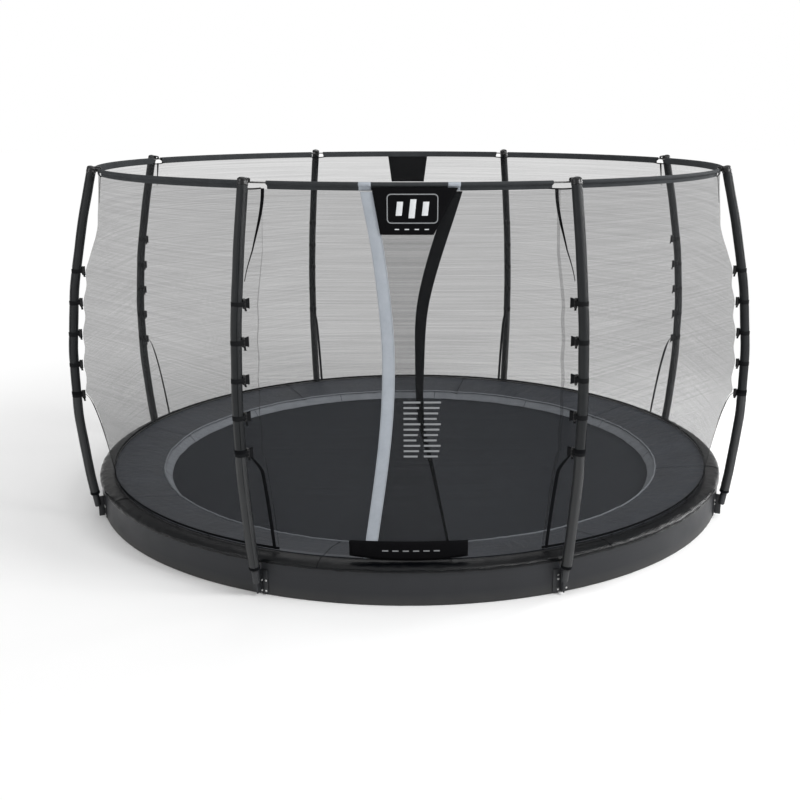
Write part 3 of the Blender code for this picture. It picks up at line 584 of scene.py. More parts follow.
SLEEVE_VINYL = vinyl_paint("sleeve_vinyl", SLEEVE_DARK, SLEEVE_LIGHT, 0.40, 0.03, True,
                           Specular_IOR_Level=0.6, Anisotropic=0.92, Anisotropic_Rotation=0.25)
PAD_VINYL = vinyl_paint("pad_vinyl", (0.026, 0.030, 0.038), (0.047, 0.053, 0.066), 0.40, 0.6,
                        Specular_IOR_Level=0.36)
APRON_VINYL = vinyl_paint("apron_vinyl", (0.0010, 0.0013, 0.002), (0.0025, 0.003, 0.004), 0.15, 0.4,
                          Specular_IOR_Level=0.25)
TRIM_CLOTH = cloth_paint("pad_trim", (0.17, 0.185, 0.205), (0.29, 0.305, 0.33), 0.0018, 0.6)
THREAD = cloth_paint("grey_thread", (0.10, 0.10, 0.11), (0.20, 0.20, 0.21), 0.0008)
MAT_CLOTH = cloth_paint("woven_mat", (0.012, 0.0135, 0.0175), (0.027, 0.031, 0.038), 0.0021,
                        0.66, 0.0005, 0.2)
WALL_SHEET = wall_paint()
BRACKET_STEEL = steel_paint("bracket_steel", (0.018, 0.019, 0.021), (0.036, 0.038, 0.042),
                            0.46, 0.1, 0.004)
GALVANISED = steel_paint("galvanised", (0.30, 0.31, 0.32), (0.55, 0.56, 0.57), 0.38, 0.9, 0.012)
ZINC = steel_paint("zinc_bolt", (0.50, 0.50, 0.50), (0.80, 0.80, 0.79), 0.30, 0.9, 0.003)
POLE_STEEL = steel_paint("pole_steel", (0.035, 0.037, 0.040), (0.070, 0.073, 0.078), 0.40, 0.5, 0.006)
SPRING_STEEL = steel_paint("spring_steel", (0.42, 0.43, 0.45), (0.68, 0.69, 0.71), 0.28, 1.0, 0.006)
CAP_PLASTIC = plastic_paint("cap_plastic", (0.003, 0.003, 0.0035), 0.34)
BUCKLE_PLASTIC = plastic_paint("buckle_plastic", (0.003, 0.003, 0.0035), 0.45)
ROD = rod_paint()
FLOOR = floor_paint()


# ---- wall, rail and pole feet


def make_wall():
    """Eight curved sheets with a rolled top edge and a foot flange. The joints show at the poles."""
    roll, inner, joint = 0.004, WALL_RADIUS - 0.0015, 0.012
    profile = [(WALL_RADIUS - 0.040, 0.0012), (WALL_RADIUS - 0.006, 0.0012), (WALL_RADIUS - 0.001, 0.004)]
    profile += [(WALL_RADIUS, z) for z in (0.014, 0.060, 0.110, 0.160, WALL_TOP - 2 * roll)]
    profile += flat_arc(WALL_RADIUS - roll, WALL_TOP - roll, roll, range(0, 226, 45))
    profile += [(inner, WALL_TOP - 2 * roll - 0.002), (inner, 0.0015)]
    half = SECTOR / 2 - degrees(joint / 2 / WALL_RADIUS)
    for index in range(SECTORS):
        middle = index * SECTOR
        rows = [arc(radius, z, middle - half, middle + half, 30) for radius, z in profile]
        piece(f"wall_sheet_{index + 1}", [grid(rows)], WALL_SHEET, stands_for=[f"wall_panel_{index + 1}"])


def make_rails():
    """Round rails, one a sector, with a swaged sleeve where two meet."""
    gap, swage = 0.1, 1.6  # degrees
    for index in range(SECTORS):
        start, end = (index - 0.5) * SECTOR + gap, (index + 0.5) * SECTOR - gap
        path = arc(RAIL_RADIUS, RAIL_Z, start, end, 32)
        joint = arc(RAIL_RADIUS, RAIL_Z, end - swage, end, 3)
        shapes = [tube(path, RAIL_TUBE - 0.0008, 16), tube(joint, RAIL_TUBE + 0.0002, 16)]
        piece(f"rail_tube_{index + 1}", shapes, GALVANISED, stands_for=[f"frame_rail_{index + 1}"])


def station_axes(index):
    """A pole foot's position, and its outward and sideways directions."""
    foot = POLES[index][0]
    azimuth = (index + 0.5) * SECTOR
    return foot, polar(1, azimuth), polar(1, azimuth + 90)


def make_foot(index):
    """A slotted plate over the panels' joint, a socket that takes the pole, a rib between them, and bolts."""
    foot, out, side = station_axes(index)
    face = polar(WALL_RADIUS, (index + 0.5) * SECTOR) + out * 0.0003
    shapes = []
    for start, end in ((-0.048, 0.0135), (0.0205, 0.048)):  # both sides of the slot
        middle, half = (start + end) / 2, (end - start) / 2
        plate = face + side * middle + out * 0.002 + UP * 0.0775
        shapes.append(brick(plate, side * half, UP * 0.0675, out * 0.002, 0.04))
    bridge = face + out * 0.001 + side * 0.017 + UP * 0.135
    shapes.append(brick(bridge, side * 0.02, UP * 0.0100, out * 0.0009, 0.04))
    axis = (POLES[index][1] - POLES[index][0]).normalized()
    socket = [foot + axis * along for along in (-0.075, -0.071, -0.004, -0.001)]
    shapes.append(tube(socket, [0.0185, 0.0205, 0.0205, 0.0195], 20, hint=out))
    reach = (foot - face).dot(out) - 0.016
    rib = face + out * (0.003 + reach / 2) + UP * 0.082
    shapes.append(brick(rib, side * 0.0035, UP * 0.066, out * reach / 2, 0.05))
    piece(f"pole_foot_{index + 1}", shapes, BRACKET_STEEL, stands_for=[f"pole_bracket_{index + 1}"])
    make_bolts(index, face, out, side)


def make_bolts(index, face, out, side):
    """Dome-headed bolts in three columns, two of them on one side of the slot."""
    places = [(across, height) for across in (-0.016, 0.010, 0.036) for height in (0.024, 0.084)]
    lifts = (0, 0.0010, 0.0020, 0.0022, 0.0038, 0.0046)
    sizes = (0.0062, 0.0064, 0.0060, 0.0048, 0.0038, 0.0012)
    shapes = []
    for across, height in [*places[:2], (-0.016, 0.108), *places[2:]]:
        seat = face + side * across + out * 0.004 + UP * height
        shapes.append(tube([seat + out * lift for lift in lifts], sizes, 14))
    piece(f"foot_bolts_{index + 1}", shapes, ZINC)


# ---- poles, sleeves and caps


def along_pole(index, low, high, spacing):
    """Points of a pole's centre line between two heights."""
    count = max(round((high - low) / spacing), 2)
    return [pole_point(index, z) for z in spread(low, high, count)]


def sleeve_rows(index, low, high, size, pleat):
    """A padded sleeve: rings whose radius swells a little between the straps and dips along its seams."""
    path = along_pole(index, low, high, 0.012)
    out = station_axes(index)[1]
    rows = []
    for i, point in enumerate(path):
        ahead = (path[min(i + 1, len(path) - 1)] - path[max(i - 1, 0)]).normalized()
        side = ahead.cross(out).normalized()
        away = side.cross(ahead)
        ring = []
        for k in range(SLEEVE_SIDES):
            angle = 2 * pi * k / SLEEVE_SIDES
            seam = min(abs(sin(angle / 2 + phase)) for phase in (0.35, 1.05, 1.95))
            swell = size * (1 + 0.030 * rough(point.z * 9, cos(angle) + index, sin(angle)))
            swell -= 0.0016 * max(1 - seam / 0.10, 0) + pinch_at_ties(point.z)
            swell -= pleat * max(sin(angle * 7 + 1.3 * sin(point.z * 6)), 0) ** 2
            ring.append(point + (away * cos(angle) + side * sin(angle)) * swell)
        rows.append(ring)
    return rows


def pinch_at_ties(height):
    """How much a strap squeezes the sleeve's foam."""
    nearest = min(abs(height - level) for level in TIE_HEIGHTS)
    return 0.0022 * max(1 - nearest / 0.022, 0)


def make_sleeve(index):
    """Matt cloth above the lowest tie and a glossier vinyl cover below, which overlap under a band."""
    top = POLES[index][-1].z - 0.001
    foot = POLES[index][0].z + 0.004
    joint = TIE_HEIGHTS[0] + 0.020
    upper = sleeve_rows(index, joint - 0.03, top, SLEEVE_RADIUS, 0.0007)
    lower = sleeve_rows(index, foot, joint, SLEEVE_RADIUS + 0.0010, 0.0012)
    for rows, size in ((lower, 0.024), (upper[::-1], 0.0285)):
        centre = sum(rows[0], Vector()) / len(rows[0])
        rows[0] = [centre + (p - centre).normalized() * size for p in rows[0]]
    cloth = piece(f"sleeve_upper_{index + 1}", [grid(upper, True)], SLEEVE_CLOTH)
    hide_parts(f"pole_sleeve_{index + 1}")
    cover = piece(f"sleeve_lower_{index + 1}", [grid(lower, True)], SLEEVE_VINYL)
    make_sleeve_bands(index, joint, foot)


def make_sleeve_bands(index, joint, foot):
    """Elastic bands at the covers' overlap and at the foot, and two raised seams down the sleeve."""
    _, out, side = station_axes(index)
    shapes = []
    for middle, half, size in ((joint - 0.006, 0.011, 0.0304), (foot + 0.014, 0.009, 0.0300)):
        path = along_pole(index, middle - half, middle + half, half / 3)
        radii = [size - 0.0014, *[size] * (len(path) - 2), size - 0.0014]
        shapes.append(tube(path, radii, 28, hint=out, open_ends=True))
    for turn in (0.7, 2.1):
        across = out * cos(turn) + side * sin(turn)
        line = [point + across * (SLEEVE_RADIUS + 0.0002 - pinch_at_ties(point.z))
                for point in along_pole(index, foot + 0.01, POLES[index][-1].z - 0.02, 0.03)]
        shapes.append(tube(line, 0.0013, 6, hint=out))
    piece(f"sleeve_bands_{index + 1}", shapes, SEAM_CLOTH)


def make_cap(index):
    """A domed cap with a stepped skirt, and a J-shaped hook on its inner side that holds the rod."""
    top = POLES[index][-1]
    axis = (POLES[index][-1] - POLES[index][-6]).normalized()
    inward = -polar(1, pole_azimuth(index, round(top.z, 4)))
    across = axis.cross(inward).normalized()
    lifts = [0.0, 0.0006, 0.010, 0.0115, 0.025, 0.027]
    sizes = [0.0272, 0.0288, 0.0290, 0.0284, 0.0284, 0.0288]
    for step in range(6):
        lifts.append(0.027 + 0.015 * sin(step * pi / 12))
        sizes.append(0.0285 * cos(step * pi / 12))
    shapes = [tube([top + axis * z for z in [*lifts, 0.0419]], [*sizes, 0.003], 32, hint=inward)]
    to_rod = polar(ROD_RING, azimuth_of(top), ROD_Z) - top
    rod = top + inward * to_rod.dot(inward) + axis * to_rod.dot(axis)
    hook = [top + axis * 0.034 + inward * along for along in (0.012, 0.026)]
    hook += circle(rod, inward * 0.0095, axis * 0.0095, spread(100, -150, 12))
    shapes.append(tube(hook, 0.0046, 10, hint=across, flat=2.4))
    web = top + axis * 0.014 + inward * 0.030
    shapes.append(brick(web, inward * 0.006, axis * 0.010, across * 0.004, 0.2))
    piece(f"cap_moulding_{index + 1}", shapes, CAP_PLASTIC, stands_for=[f"pole_cap_{index + 1}"])


def make_rod():
    rod = tube(hoop(ROD_RING, ROD_Z, 256), ROD_RADIUS, 12, loop=True)
    piece("hem_rod", [rod], ROD, stands_for=["top_ring"])


# ---- mat and springs

MAT_STEPS = 144


def make_mat():
    """The woven disc, its stitch rows, and the webbing band folded over its edge."""
    radii = [0.02, 0.4, 0.9, 1.3, 1.55, 1.65, 1.72, 1.76, 1.79, MAT_RADIUS - 0.001]
    rows = [hoop(r, MAT_TOP - 0.0012, MAT_STEPS) for r in radii]
    points, faces, _ = grid(rows, True)
    faces.append(tuple(range(MAT_STEPS)))
    corners = [tuple((points[i].x, points[i].y) for i in face) for face in faces]
    cloth = piece("mat_cloth", [(points, faces, corners)], MAT_CLOTH, "mat", ["jumping_mat"], 0.0022)
    half = (BAND_RADIUS - MAT_RADIUS) / 2
    middle = hoop((BAND_RADIUS + MAT_RADIUS) / 2 - 0.002, MAT_TOP - 0.0015, MAT_STEPS)
    stitches = []
    for radius in (1.690, 1.712, 1.772, 1.786):
        stitches.append(tube(hoop(radius, MAT_TOP + 0.0002, MAT_STEPS), 0.0011, 5, loop=True, flat=0.5))
    piece("mat_webbing", [tube(middle, half, 10, loop=True, flat=0.22)], WEBBING, "mat", ["mat_edge_band"])
    piece("mat_stitching", stitches, THREAD, "mat")


def spring_shape(azimuth):
    """A coil spring with a hook at each end, from the mat's ring to the rail."""
    start = polar(BAND_RADIUS - 0.012, azimuth, MAT_TOP + 0.001)
    end = polar(RAIL_RADIUS - RAIL_TUBE - 0.002, azimuth, RAIL_Z - 0.004)
    length = (end - start).length
    ahead = (end - start) / length
    side = ahead.cross(UP).normalized()
    up = side.cross(ahead)
    turns, size, shank, neck = 16, 0.0100, 0.022, 0.034
    path = [start, start + ahead * shank]
    for i, along in enumerate(spread(neck, length - neck, turns * 8)):
        path += circle(start + ahead * along, side * size, up * size, [i * 45])
    path += [start + ahead * (length - shank), end]
    return tube(path, 0.0019, 5, hint=up, open_ends=True)


def make_springs():
    """88 springs in groups of four, each group stretching from the frame to the mat."""
    count, group = 88, 4
    for first in range(0, count, group):
        azimuths = [(first + k + 0.5) * 360 / count for k in range(group)]
        name = f"spring_group_{first // group + 1:02d}"
        made = piece(name, [spring_shape(a) for a in azimuths], SPRING_STEEL, None)
        middle = sum(azimuths) / group
        start = polar(RAIL_RADIUS - RAIL_TUBE - 0.03, middle, RAIL_Z)
        polar(BAND_RADIUS + 0.012, middle, RAIL_Z)
        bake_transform(made)
        if first < 4 * group:
            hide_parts(f"spring_bank_{first // group + 1}")


# ---- pad

PAD_PROFILE = (  # (radius, height) over the top, from the trim's foot to the apron's
    (1.6705, 0.1285), (1.678, 0.136), (1.692, 0.151), (1.706, 0.166), (1.714, 0.1745), (1.722, 0.1805),
    (1.745, 0.187), (1.790, 0.1955), (1.840, 0.2045), (1.890, 0.2125), (1.940, 0.2190), (1.985, 0.2240),
    (2.020, 0.2262), (2.038, 0.2262), (2.046, 0.2245), (2.060, 0.2255), (2.080, 0.2262), (2.100, 0.2245),
    (2.118, 0.2205), (2.132, 0.2150), (2.140, 0.2085), (2.1435, 0.2010), (2.1440, 0.1925),
)
PAD_UNDER = (
    (2.1385, 0.1930), (2.1375, 0.2020), (2.100, 0.2035), (2.052, 0.2030), (1.900, 0.180), (1.726, 0.149),
    (1.684, 0.1258),
)
TRIM_END, APRON_START = 4, 14  # the profile's points where the trim ends and the apron begins
PAD_STEPS = 720
TRIM_SEAMS = [6.7 + 360 / 13 * k for k in range(13)]
COVER_SEAMS = [SECTOR * (k + 0.5) + 9 for k in range(SECTORS)]


def away_from(azimuth, marks):
    """Smallest angle to any of the marks, in degrees."""
    return min(abs((azimuth - mark + 180) % 360 - 180) for mark in marks)


def pad_point(step, azimuth, lift=0.0):
    """Point of the pad's top at a place along its profile, with its creases, dents and seams."""
    whole = min(int(step), len(PAD_PROFILE) - 2)
    part = step - whole
    (r0, z0), (r1, z1) = PAD_PROFILE[whole], PAD_PROFILE[whole + 1]
    radius, height = r0 + (r1 - r0) * part, z0 + (z1 - z0) * part

    def waves(count, depth):
        """Noise with a number of waves round the ring."""
        turn = radians(azimuth)
        return rough(cos(turn) * count, sin(turn) * count, depth)

    if step <= APRON_START:
        inside = ease(step / TRIM_END) * ease((APRON_START - step) / 2)
        seam = max(1 - away_from(azimuth, COVER_SEAMS) / 0.9, 0) ** 2
        edge = 0.0035 * waves(13, 3.0) * (1 - ease((step - TRIM_END) / 3))
        dent = 0.0050 * waves(9, radius * 5) + 0.0034 * waves(42, radius * 4)
        height += inside * (dent - 0.0070 * seam) + 0.6 * edge
        radius += edge
    else:
        loose = ease((step - APRON_START) / 3)
        wrinkle = waves(55, step * 0.35) + 0.6 * waves(120, step * 0.5)
        height += loose * (0.0030 * wrinkle - 0.0010)
        radius += 0.0035 * loose * waves(40, 9 + step * 0.25)
    return polar(min(radius, PAD_OUTER + 0.004), azimuth, height + lift)


def make_pad():
    """The padded ring with its grey trim, charcoal cover and glossy apron, closed underneath."""
    azimuths = [360 * i / PAD_STEPS for i in range(PAD_STEPS)]
    steps = [i / 2 for i in range(2 * len(PAD_PROFILE) - 1)]
    rows = [[pad_point(step, azimuth) for azimuth in azimuths] for step in steps]
    rows += [[polar(r, azimuth, z) for azimuth in azimuths] for r, z in PAD_UNDER]
    rows.append([p.copy() for p in rows[0]])
    pad = piece("pad_ring", [grid(rows, True)], PAD_VINYL, stands_for=["safety_pad"])
    pad.data.materials.append(TRIM_CLOTH)
    pad.data.materials.append(APRON_VINYL)
    for polygon in pad.data.polygons:
        row = polygon.index // PAD_STEPS
        if row < 2 * TRIM_END:
            polygon.material_index = 1
        elif 2 * APRON_START <= row < len(steps) + 2:
            polygon.material_index = 2
    make_pad_seams()


def on_pad(step_from, step_to, azimuth, lift, count=14):
    return [pad_point(step, azimuth, lift) for step in spread(step_from, step_to, count)]


def make_pad_seams():
    """Welts across the pad, piping, bead and stitches along it, and the trim's butt joints."""
    last = len(PAD_PROFILE) - 2
    welts = [tube(on_pad(TRIM_END, APRON_START, a, 0.0005), 0.0022, 6, flat=0.6) for a in COVER_SEAMS]
    welts += [tube(on_pad(APRON_START, last, a, 0.0006), 0.0018, 6, flat=0.6) for a in COVER_SEAMS]
    welts += [tube(on_pad(0.3, TRIM_END, a, 0.0006, 6), 0.0016, 6, flat=0.6) for a in TRIM_SEAMS]

    def round_pad(step, lift, size, sides):
        return tube([pad_point(step, a, lift) for a in range(360)], size, sides, loop=True)

    stitches = [round_pad(step, 0.0004, 0.0008, 4) for step in (0.5, TRIM_END - 0.4)]
    piece("pad_welts", [*welts, round_pad(APRON_START - 0.4, 0.0008, 0.0022, 6)], SEAM_CLOTH)
    piece("pad_stitching", stitches, THREAD)
    piece("pad_trim_bead", [round_pad(TRIM_END + 0.8, 0.0025, 0.0062, 10)], TRIM_CLOTH)


# ---- net, hem and ties


def make_net():
    """The fixed mesh wall from one side of the entrance round to the other."""
    azimuths = spread(NET_EDGE, 360 - NET_EDGE, (SECTORS - 1) * SECTOR_STEPS + 4)
    rows = []
    for height in spread(NET_FOOT + 0.001, HEM_LOW + 0.004, 110):
        row = []
        for azimuth in azimuths:
            flutter = 0.0035 * rough(azimuth * 0.11, height * 5.0)
            flutter += 0.0012 * rough(azimuth * 0.2, height * 31.0)
            row.append(net_point(azimuth, height, flutter * ease((height - NET_FOOT) / 0.1)))
        rows.append(row)
    net = piece("net_mesh", [grid(rows)], MESH_CLOTH, stands_for=["safety_net"])


def make_hem():
    """A webbing pocket round the rod in each sector, cut away at the caps, with a cord across each gap."""
    pockets, cords, lap = [], [], 0.6
    for index in range(-1, SECTORS - 1):
        start, end = pole_azimuth(index, 2.18), pole_azimuth(index + 1, 2.18)
        window = degrees((WINDOW_ENTRY if index == -1 else WINDOW) / ROD_RING)
        pockets.append(grid(hem_rows(start + window, end - window), True))
        azimuths = spread(end - window - lap, end + degrees(WINDOW / ROD_RING) + lap, 10)
        sags = [0.006 * sin(pi * i / 10) for i in range(11)]
        path = [polar(HEM_RADIUS, a, HEM_LOW + 0.004 - sag) for a, sag in zip(azimuths, sags)]
        cords.append(tube(path, 0.0036, 8))
    # The hem's grey colour is painted sheen on black-ish webbing.
    hem = piece("hem_band", pockets, HEM_CLOTH_PAINTED_SHEEN)
    piece("hem_cords", cords, SEAM_CLOTH)


def hem_rows(low, high):
    """Cross sections of the hem: a flat double layer with a round pocket for the rod at its top."""
    rows = []
    for azimuth in spread(low, high, 40):
        pinch = 0.0008 * rough(azimuth * 0.9, 4.0)
        profile = [(HEM_RADIUS - 0.0015, HEM_LOW), (HEM_RADIUS - 0.0020 + pinch, HEM_LOW + 0.018)]
        profile += flat_arc(ROD_RING - 0.001, ROD_Z, 0.0102, range(200, -46, -35))
        profile += [(HEM_RADIUS + 0.0035 + pinch, HEM_LOW + 0.018), (HEM_RADIUS + 0.0020, HEM_LOW)]
        rows.append([polar(radius, azimuth, z) for radius, z in profile])
    return rows


def upright_band(line, heights, half_width, offset, thickness, place):
    """A band that runs up the net. place(line(height), height, offset) gives a point of it."""
    middles = [place(line(height), height, offset) for height in heights]
    beside = [place(line(height) + 0.05, height, offset) for height in heights]
    sides = [(b - a).normalized() for a, b in zip(middles, beside)]
    halves = [half_width(height) for height in heights] if callable(half_width) else half_width
    return ribbon(middles, sides, halves, thickness)


def seam_line(index, low, high, shift, half_width):
    """A seam ribbon at a pole between two heights. shift is in degrees, towards the entrance."""
    towards = {0: -1, SECTORS - 1: 1}.get(index, 0)

    def at(height):
        return (index + 0.5) * SECTOR + towards * shift(height)

    return upright_band(at, spread(low, high, 30), half_width, 0.002, 0.0022, net_point)


def make_pole_seams():
    """The net's seams at each pole: a wedge under the hem, and a band from the lowest tie to the pad."""
    shapes = []
    for index in range(SECTORS):
        drop = 0.46 if index in ENTRY_POLES else 0.16

        def under_hem(height, drop=drop):
            return ease((height - HEM_LOW + drop) / drop)

        def under_tie(height, reach):
            return ease((TIE_HEIGHTS[0] - height) / reach)

        shapes.append(seam_line(index, HEM_LOW - drop, HEM_LOW + 0.004, lambda z: 2.2 * under_hem(z),
                                lambda z: 0.002 + 0.008 * under_hem(z)))
        shapes.append(seam_line(index, NET_FOOT + 0.004, TIE_HEIGHTS[0], lambda z: 1.3 * under_tie(z, 0.14),
                                lambda z: 0.003 + 0.007 * under_tie(z, 0.10)))
    piece("net_seams", shapes, SEAM_CLOTH)


def make_ties():
    """At each tie a strap goes round the sleeve and back to the net, through a buckle."""
    for index in range(SECTORS):
        made = [tie_shapes(index, height) for height in TIE_HEIGHTS]
        piece(f"tie_straps_{index + 1}", [shape for straps, _ in made for shape in straps], WEBBING)
        piece(f"tie_buckles_{index + 1}", [shape for _, bricks in made for shape in bricks], BUCKLE_PLASTIC)


def tie_shapes(index, height):
    """A strap with its tail, and its buckle. Beside the entrance the strap pulls towards the flaps."""
    centre = pole_point(index, height)
    azimuth = pole_azimuth(index, round(height, 4))
    turn_in = {0: TIE_TURN, SECTORS - 1: -TIE_TURN}.get(index, 0)
    out, side = polar(1, azimuth + turn_in), polar(1, azimuth + turn_in + 90)
    size = SLEEVE_RADIUS + 0.0004
    at_net = centre - out * ((size + TIE_REACH) / cos(radians(turn_in)) - 0.001)
    loop = circle(centre, out * size, side * size, spread(150, -150, 18))
    loop = [at_net + side * 0.003, *loop, at_net - side * 0.003]
    halves = [0.0275, *[0.0125] * (len(loop) - 2), 0.0275]
    shapes = [level_ribbon(loop, halves, 0.0016)]
    tail_start = centre - out * (size + 0.012) + side * 0.007
    droop = 0.040 + 0.012 * rough(index * 3.1, height * 7)
    tail = [tail_start + side * 0.005 * t - UP * droop * t - out * 0.004 * t * t for t in spread(0, 1, 4)]
    shapes.append(ribbon(tail, [out] * len(tail), 0.006, 0.0014))
    knot = centre - out * (size + 0.010)
    buckle = [brick(knot, side * 0.0105, UP * 0.0260, out * 0.0075, 0.25)]
    for lift in (-0.016, 0.0, 0.016):
        bar = knot + UP * lift + side * 0.0004
        buckle.append(brick(bar, side * 0.0116, UP * 0.0024, out * 0.0084, 0.3))
    return shapes, buckle


def make_net_foot():
    """The webbing that edges the net's foot, and elastic loops that hold it down to the pad."""
    middles = [net_point(a, NET_FOOT + 0.012, 0.0012) for a in spread(NET_EDGE, 360 - NET_EDGE, 300)]
    band = level_ribbon(middles, 0.007, 0.0024)
    loops, a_sector = [], 6
    for k in range(SECTORS * a_sector):
        azimuth = (k + 0.5) * SECTOR / a_sector
        if away_from(azimuth, [0]) < NET_EDGE + 1:
            continue
        path = [net_point(azimuth, NET_FOOT + lift, offset)
                for lift, offset in ((0.016, 0.003), (0.006, 0.006), (-0.0035, 0.004))]
        loops.append(tube(path, 0.0022, 6, hint=polar(1, azimuth)))
    piece("net_foot_band", [band], SEAM_CLOTH)
    piece("net_foot_loops", loops, WEBBING)


def make_rear_panel():
    """A black cloth panel on the far side of the net, under the hem."""
    rows, middle, drop = [], 180.5, 0.210
    for height in spread(HEM_LOW - drop, HEM_LOW + 0.002, 10):
        half = 3.9 + 0.8 * (height - HEM_LOW + drop) / drop
        azimuths = spread(middle - half, middle + half, 14)
        rows.append([net_point(azimuth, height, 0.006) for azimuth in azimuths])
    panel = piece("rear_panel", [grid(rows)], DOOR_CLOTH, thickness=0.0018)


# ---- entrance


def flap_rows(side, line, offset):
    """A flap's grid from its root beside a front pole to its curved free edge past the middle."""
    rows = []
    for height in spread(NET_FOOT + 0.006, HEM_LOW - 0.002, 80):
        root = side * (NET_EDGE + 0.3)  # under the fixed net's edge
        end = degrees(math.asin(curve_value(line, height) / net_radius_between(height)))
        row = []
        for azimuth in spread(root, end, 36):
            sway = 0.0018 * rough(azimuth * 0.22, height * 2.3, side)
            sway += 0.0006 * rough(azimuth * 0.4, height * 28)
            row.append(net_point(azimuth, height, offset + sway))
        rows.append(row)
    return rows


def make_flap(name, side, line, offset):
    flap = piece(f"{name}_mesh", [grid(flap_rows(side, line, offset))], FLAP_CLOTH, None)
    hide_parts(name)
    root = net_point(side * FLAP_ROOT, 1.2, offset)
    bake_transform(flap)


def make_flap_edges():
    """The grey tape on the outer flap's edge and the tapering black band on the inner one's."""
    heights = spread(NET_FOOT + 0.007, HEM_LOW - 0.003, 80)

    def tape_x(height):
        return curve_value(TAPE_LINE, height) + TAPE_LAP

    def band_x(height):
        return curve_value(BAND_LINE, height) - TAPE_LAP

    def band_half(height):
        return 0.007 + 0.028 * ease((height - 0.35) / 1.7)

    tape = upright_band(tape_x, heights, TAPE_WIDTH / 2, FLAP_OFFSET + 0.003, 0.0018, door_point)
    piece("entrance_tape", [tape], GREY_TAPE, "outer_flap")
    band = upright_band(band_x, heights, band_half, -FLAP_OFFSET + 0.002, 0.0018, door_point)
    piece("inner_flap_band", [band], SEAM_CLOTH, "inner_flap")
    stitches = []
    for across in (-0.42, 0.42):
        line = [door_point(tape_x(h) + across * TAPE_WIDTH, h, FLAP_OFFSET + 0.0042) for h in heights]
        stitches.append(tube(line, 0.0007, 4, hint=polar(1, 0)))
    piece("entrance_tape_stitches", stitches, GREY_PRINT, "outer_flap")


def make_hem_patches():
    """Short lengths of the grey tape on the hem, over the flaps' two edges."""
    profile = ((HEM_RADIUS + 0.0042, HEM_LOW + 0.001), (HEM_RADIUS + 0.0062, HEM_LOW + 0.018),
               (ROD_RING + 0.0096, ROD_Z - 0.006), (ROD_RING + 0.0108, ROD_Z + 0.002),
               (ROD_RING + 0.0060, ROD_Z + 0.0098))
    half = degrees(0.031 / HEM_RADIUS)
    shapes = [grid([arc(radius, z, azimuth - half, azimuth + half, 8) for radius, z in profile])
              for azimuth in (-6.3, 6.2)]
    piece("hem_patches", shapes, GREY_TAPE, thickness=0.0012)


def panel_point(x, height, lift=0.0):
    return door_point(x, height, FLAP_OFFSET + 0.0085 + lift)


def make_door_panel():
    """The tapered cloth panel under the hem, with a plain rounded frame and three bars as its motif."""
    low, high = 1.955, 2.184
    rows = []
    for height in spread(low, high, 16):
        share = (height - low) / (high - low)
        left, right = -0.138 - 0.037 * share, 0.110 + 0.112 * share
        rows.append([panel_point(x, height) for x in spread(left, right, 20)])
    panel = piece("door_panel_cloth", [grid(rows)], DOOR_CLOTH, "outer_flap", ["door_panel"], 0.0016)
    middle_x, middle_z = MIDDLE_BAR
    corners = []
    for x, z, start in ((1, 1, 0), (-1, 1, 90), (-1, -1, 180), (1, -1, 270)):
        corners += flat_arc(middle_x + x * 0.098, middle_z + z * 0.052, 0.018, spread(start, start + 90, 5))
    outline = resampled([Vector((x, z, 0)) for x, z in [*corners, corners[0]]], 0.01)[:-1]
    path = [panel_point(p.x, p.y, 0.0016) for p in outline]
    frame_line = tube(path, 0.0026, 6, loop=True, hint=polar(1, 0), flat=0.35)
    piece("door_panel_frame", [frame_line], GREY_PRINT, "outer_flap")
    shapes = []
    for x, half in ((-0.048, 0.034), (middle_x, 0.046), (0.072, 0.034)):
        line = [panel_point(x + 0.10 * lift, middle_z + lift, 0.0016) for lift in spread(-half, half, 6)]
        shapes.append(ribbon(line, [polar(1, 90)] * len(line), 0.015, 0.0012))
    for middle in spread(-0.060, 0.078, 3):
        dash = [panel_point(x, 1.982, 0.0014) for x in (middle - 0.010, middle + 0.010)]
        shapes.append(level_ribbon(dash, 0.0025, 0.0010))
    piece("door_panel_motif", shapes, PALE_PRINT, "outer_flap")


def make_label():
    """A plain patch of ruled lines where a printed sheet would be, with nothing written on it."""
    shapes = []
    for start in (-0.034, 0.068):
        for row in range(11):
            height = 1.098 - row * 0.029
            width = 0.084 - 0.020 * ((row * 5) % 4) / 3
            line = [door_point(x, height, FLAP_OFFSET + 0.0022) for x in spread(start, start + width, 4)]
            shapes.append(level_ribbon(line, 0.0052, 0.0008))
    piece("ruled_label", shapes, GREY_PRINT, "outer_flap")


def make_sill():
    """The black cloth strip across the foot of the entrance, with a row of plain dashes."""
    def at(azimuth, share):
        foot = 0.2290 + 0.020 * (azimuth / 9) ** 2
        return net_point(azimuth, foot + (0.338 - foot) * share, 0.018)

    rows = [[at(a, share) for a in spread(-9.1, 8.5, 32)] for share in spread(0, 1, 6)]
    sill = piece("entrance_sill", [grid(rows)], DOOR_CLOTH, thickness=0.002)
    dashes = []
    for start in spread(-4.2, 3.4, 5):
        line = [net_point(a, 0.284, 0.0198) for a in spread(start, start + 0.9, 3)]
        dashes.append(level_ribbon(line, 0.0035, 0.0008))
    piece("sill_dashes", dashes, GREY_PRINT)


# ---- stage

LAMPS = {  # place, size and power
    "top": ((0.0, -1.0, 8.0), 7.0, 200),
    "key": ((6.0, -4.6, 5.6), 3.0, 430),
    "fill": ((-6.0, -5.0, 4.2), 2.6, 110),
    "back": ((-1.0, 6.5, 6.0), 4.0, 90),
    "rim": ((7.0, 2.4, 3.4), 2.2, 240),
}
LIT_POINT = Vector((0, 0, 0.6))


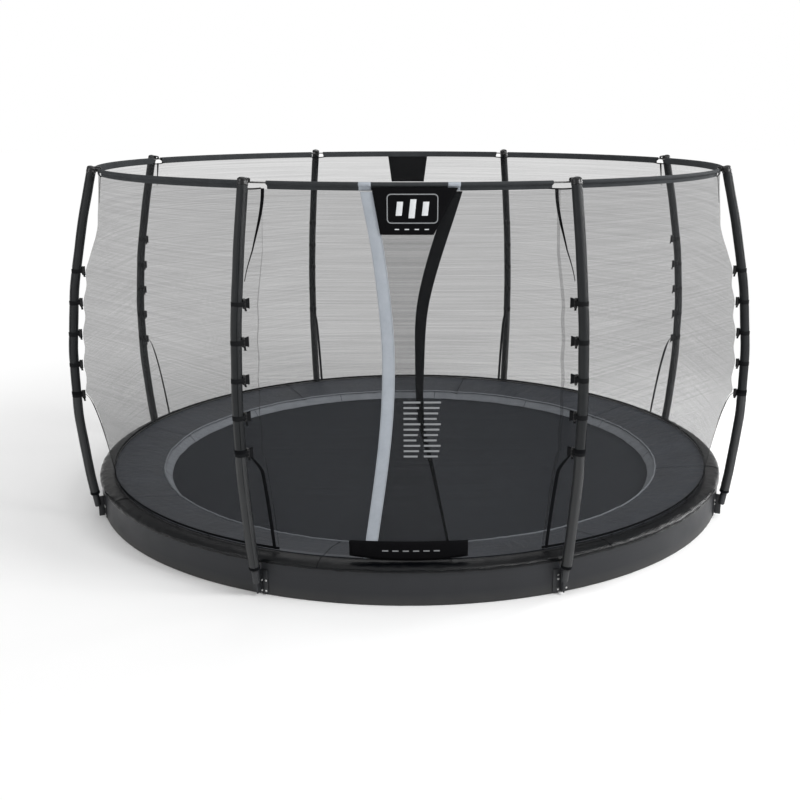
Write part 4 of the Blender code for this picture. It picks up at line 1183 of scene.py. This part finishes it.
def make_stage():
    """A pale floor that fades into a white surround. The surround lights the object less than it shows."""
    rows = [[Vector((x, y, -0.001)) for x in spread(-60, 60, 12)] for y in spread(-60, 60, 12)]
    piece("studio_floor", [grid(rows)], FLOOR, None)
    world = bpy.data.worlds.new("studio")
    bpy.context.scene.world = world
    world.use_nodes = True
    tree = world.node_tree
    background = tree.nodes["Background"]
    background.inputs["Color"].default_value = (1.0, 1.0, 1.0, 1)
    seen = node(tree, "LightPath").outputs["Is Camera Ray"]
    strength = node(tree, "MapRange", {"Value": seen, "To Min": SURROUND, "To Max": 1.0})
    tree.links.new(strength.outputs[0], background.inputs["Strength"])
    bpy.context.scene.view_settings.view_transform = "Standard"
    for name, (place, size, power) in LAMPS.items():
        lamp = bpy.data.lights.new(name, "AREA")
        lamp.energy = power
        lamp.size = size
        obj = bpy.data.objects.new(name, lamp)
        bpy.context.scene.collection.objects.link(obj)
        obj.location = place
        obj.rotation_euler = (LIT_POINT - obj.location).to_track_quat("-Z", "Y").to_euler()


def make_camera():
    """The photograph's view: from in front of the entrance, a little above the hem, looking down."""
    lens = bpy.data.cameras.new("camera")
    lens.lens = 48.64
    lens.sensor_width = 36
    lens.shift_x = -0.0242
    lens.shift_y = -0.0031
    camera = bpy.data.objects.new("camera", lens)
    bpy.context.scene.collection.objects.link(camera)
    camera.location = (0, -7.410, 2.555)
    camera.rotation_euler = (pi / 2 - 0.2605, 0, -0.0087)
    bpy.context.scene.camera = camera


def paint_nodes():
    """The poles keep their CAD shape inside the sleeves."""
    for index in range(SECTORS):
        for material_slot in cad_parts[f"pole_{index + 1}"].material_slots:
            material_slot.material = POLE_STEEL


make_camera()
make_stage()
make_wall()
make_rails()
for station in range(SECTORS):
    make_foot(station)
    make_sleeve(station)
    make_cap(station)
make_rod()
make_mat()
make_springs()
make_pad()
make_hem()
make_net()
make_pole_seams()
make_ties()
make_net_foot()
make_rear_panel()
make_flap("outer_flap", 1, TAPE_LINE, FLAP_OFFSET)
make_flap("inner_flap", -1, BAND_LINE, -FLAP_OFFSET)
make_flap_edges()
make_hem_patches()
make_door_panel()
make_label()
make_sill()
paint_nodes()
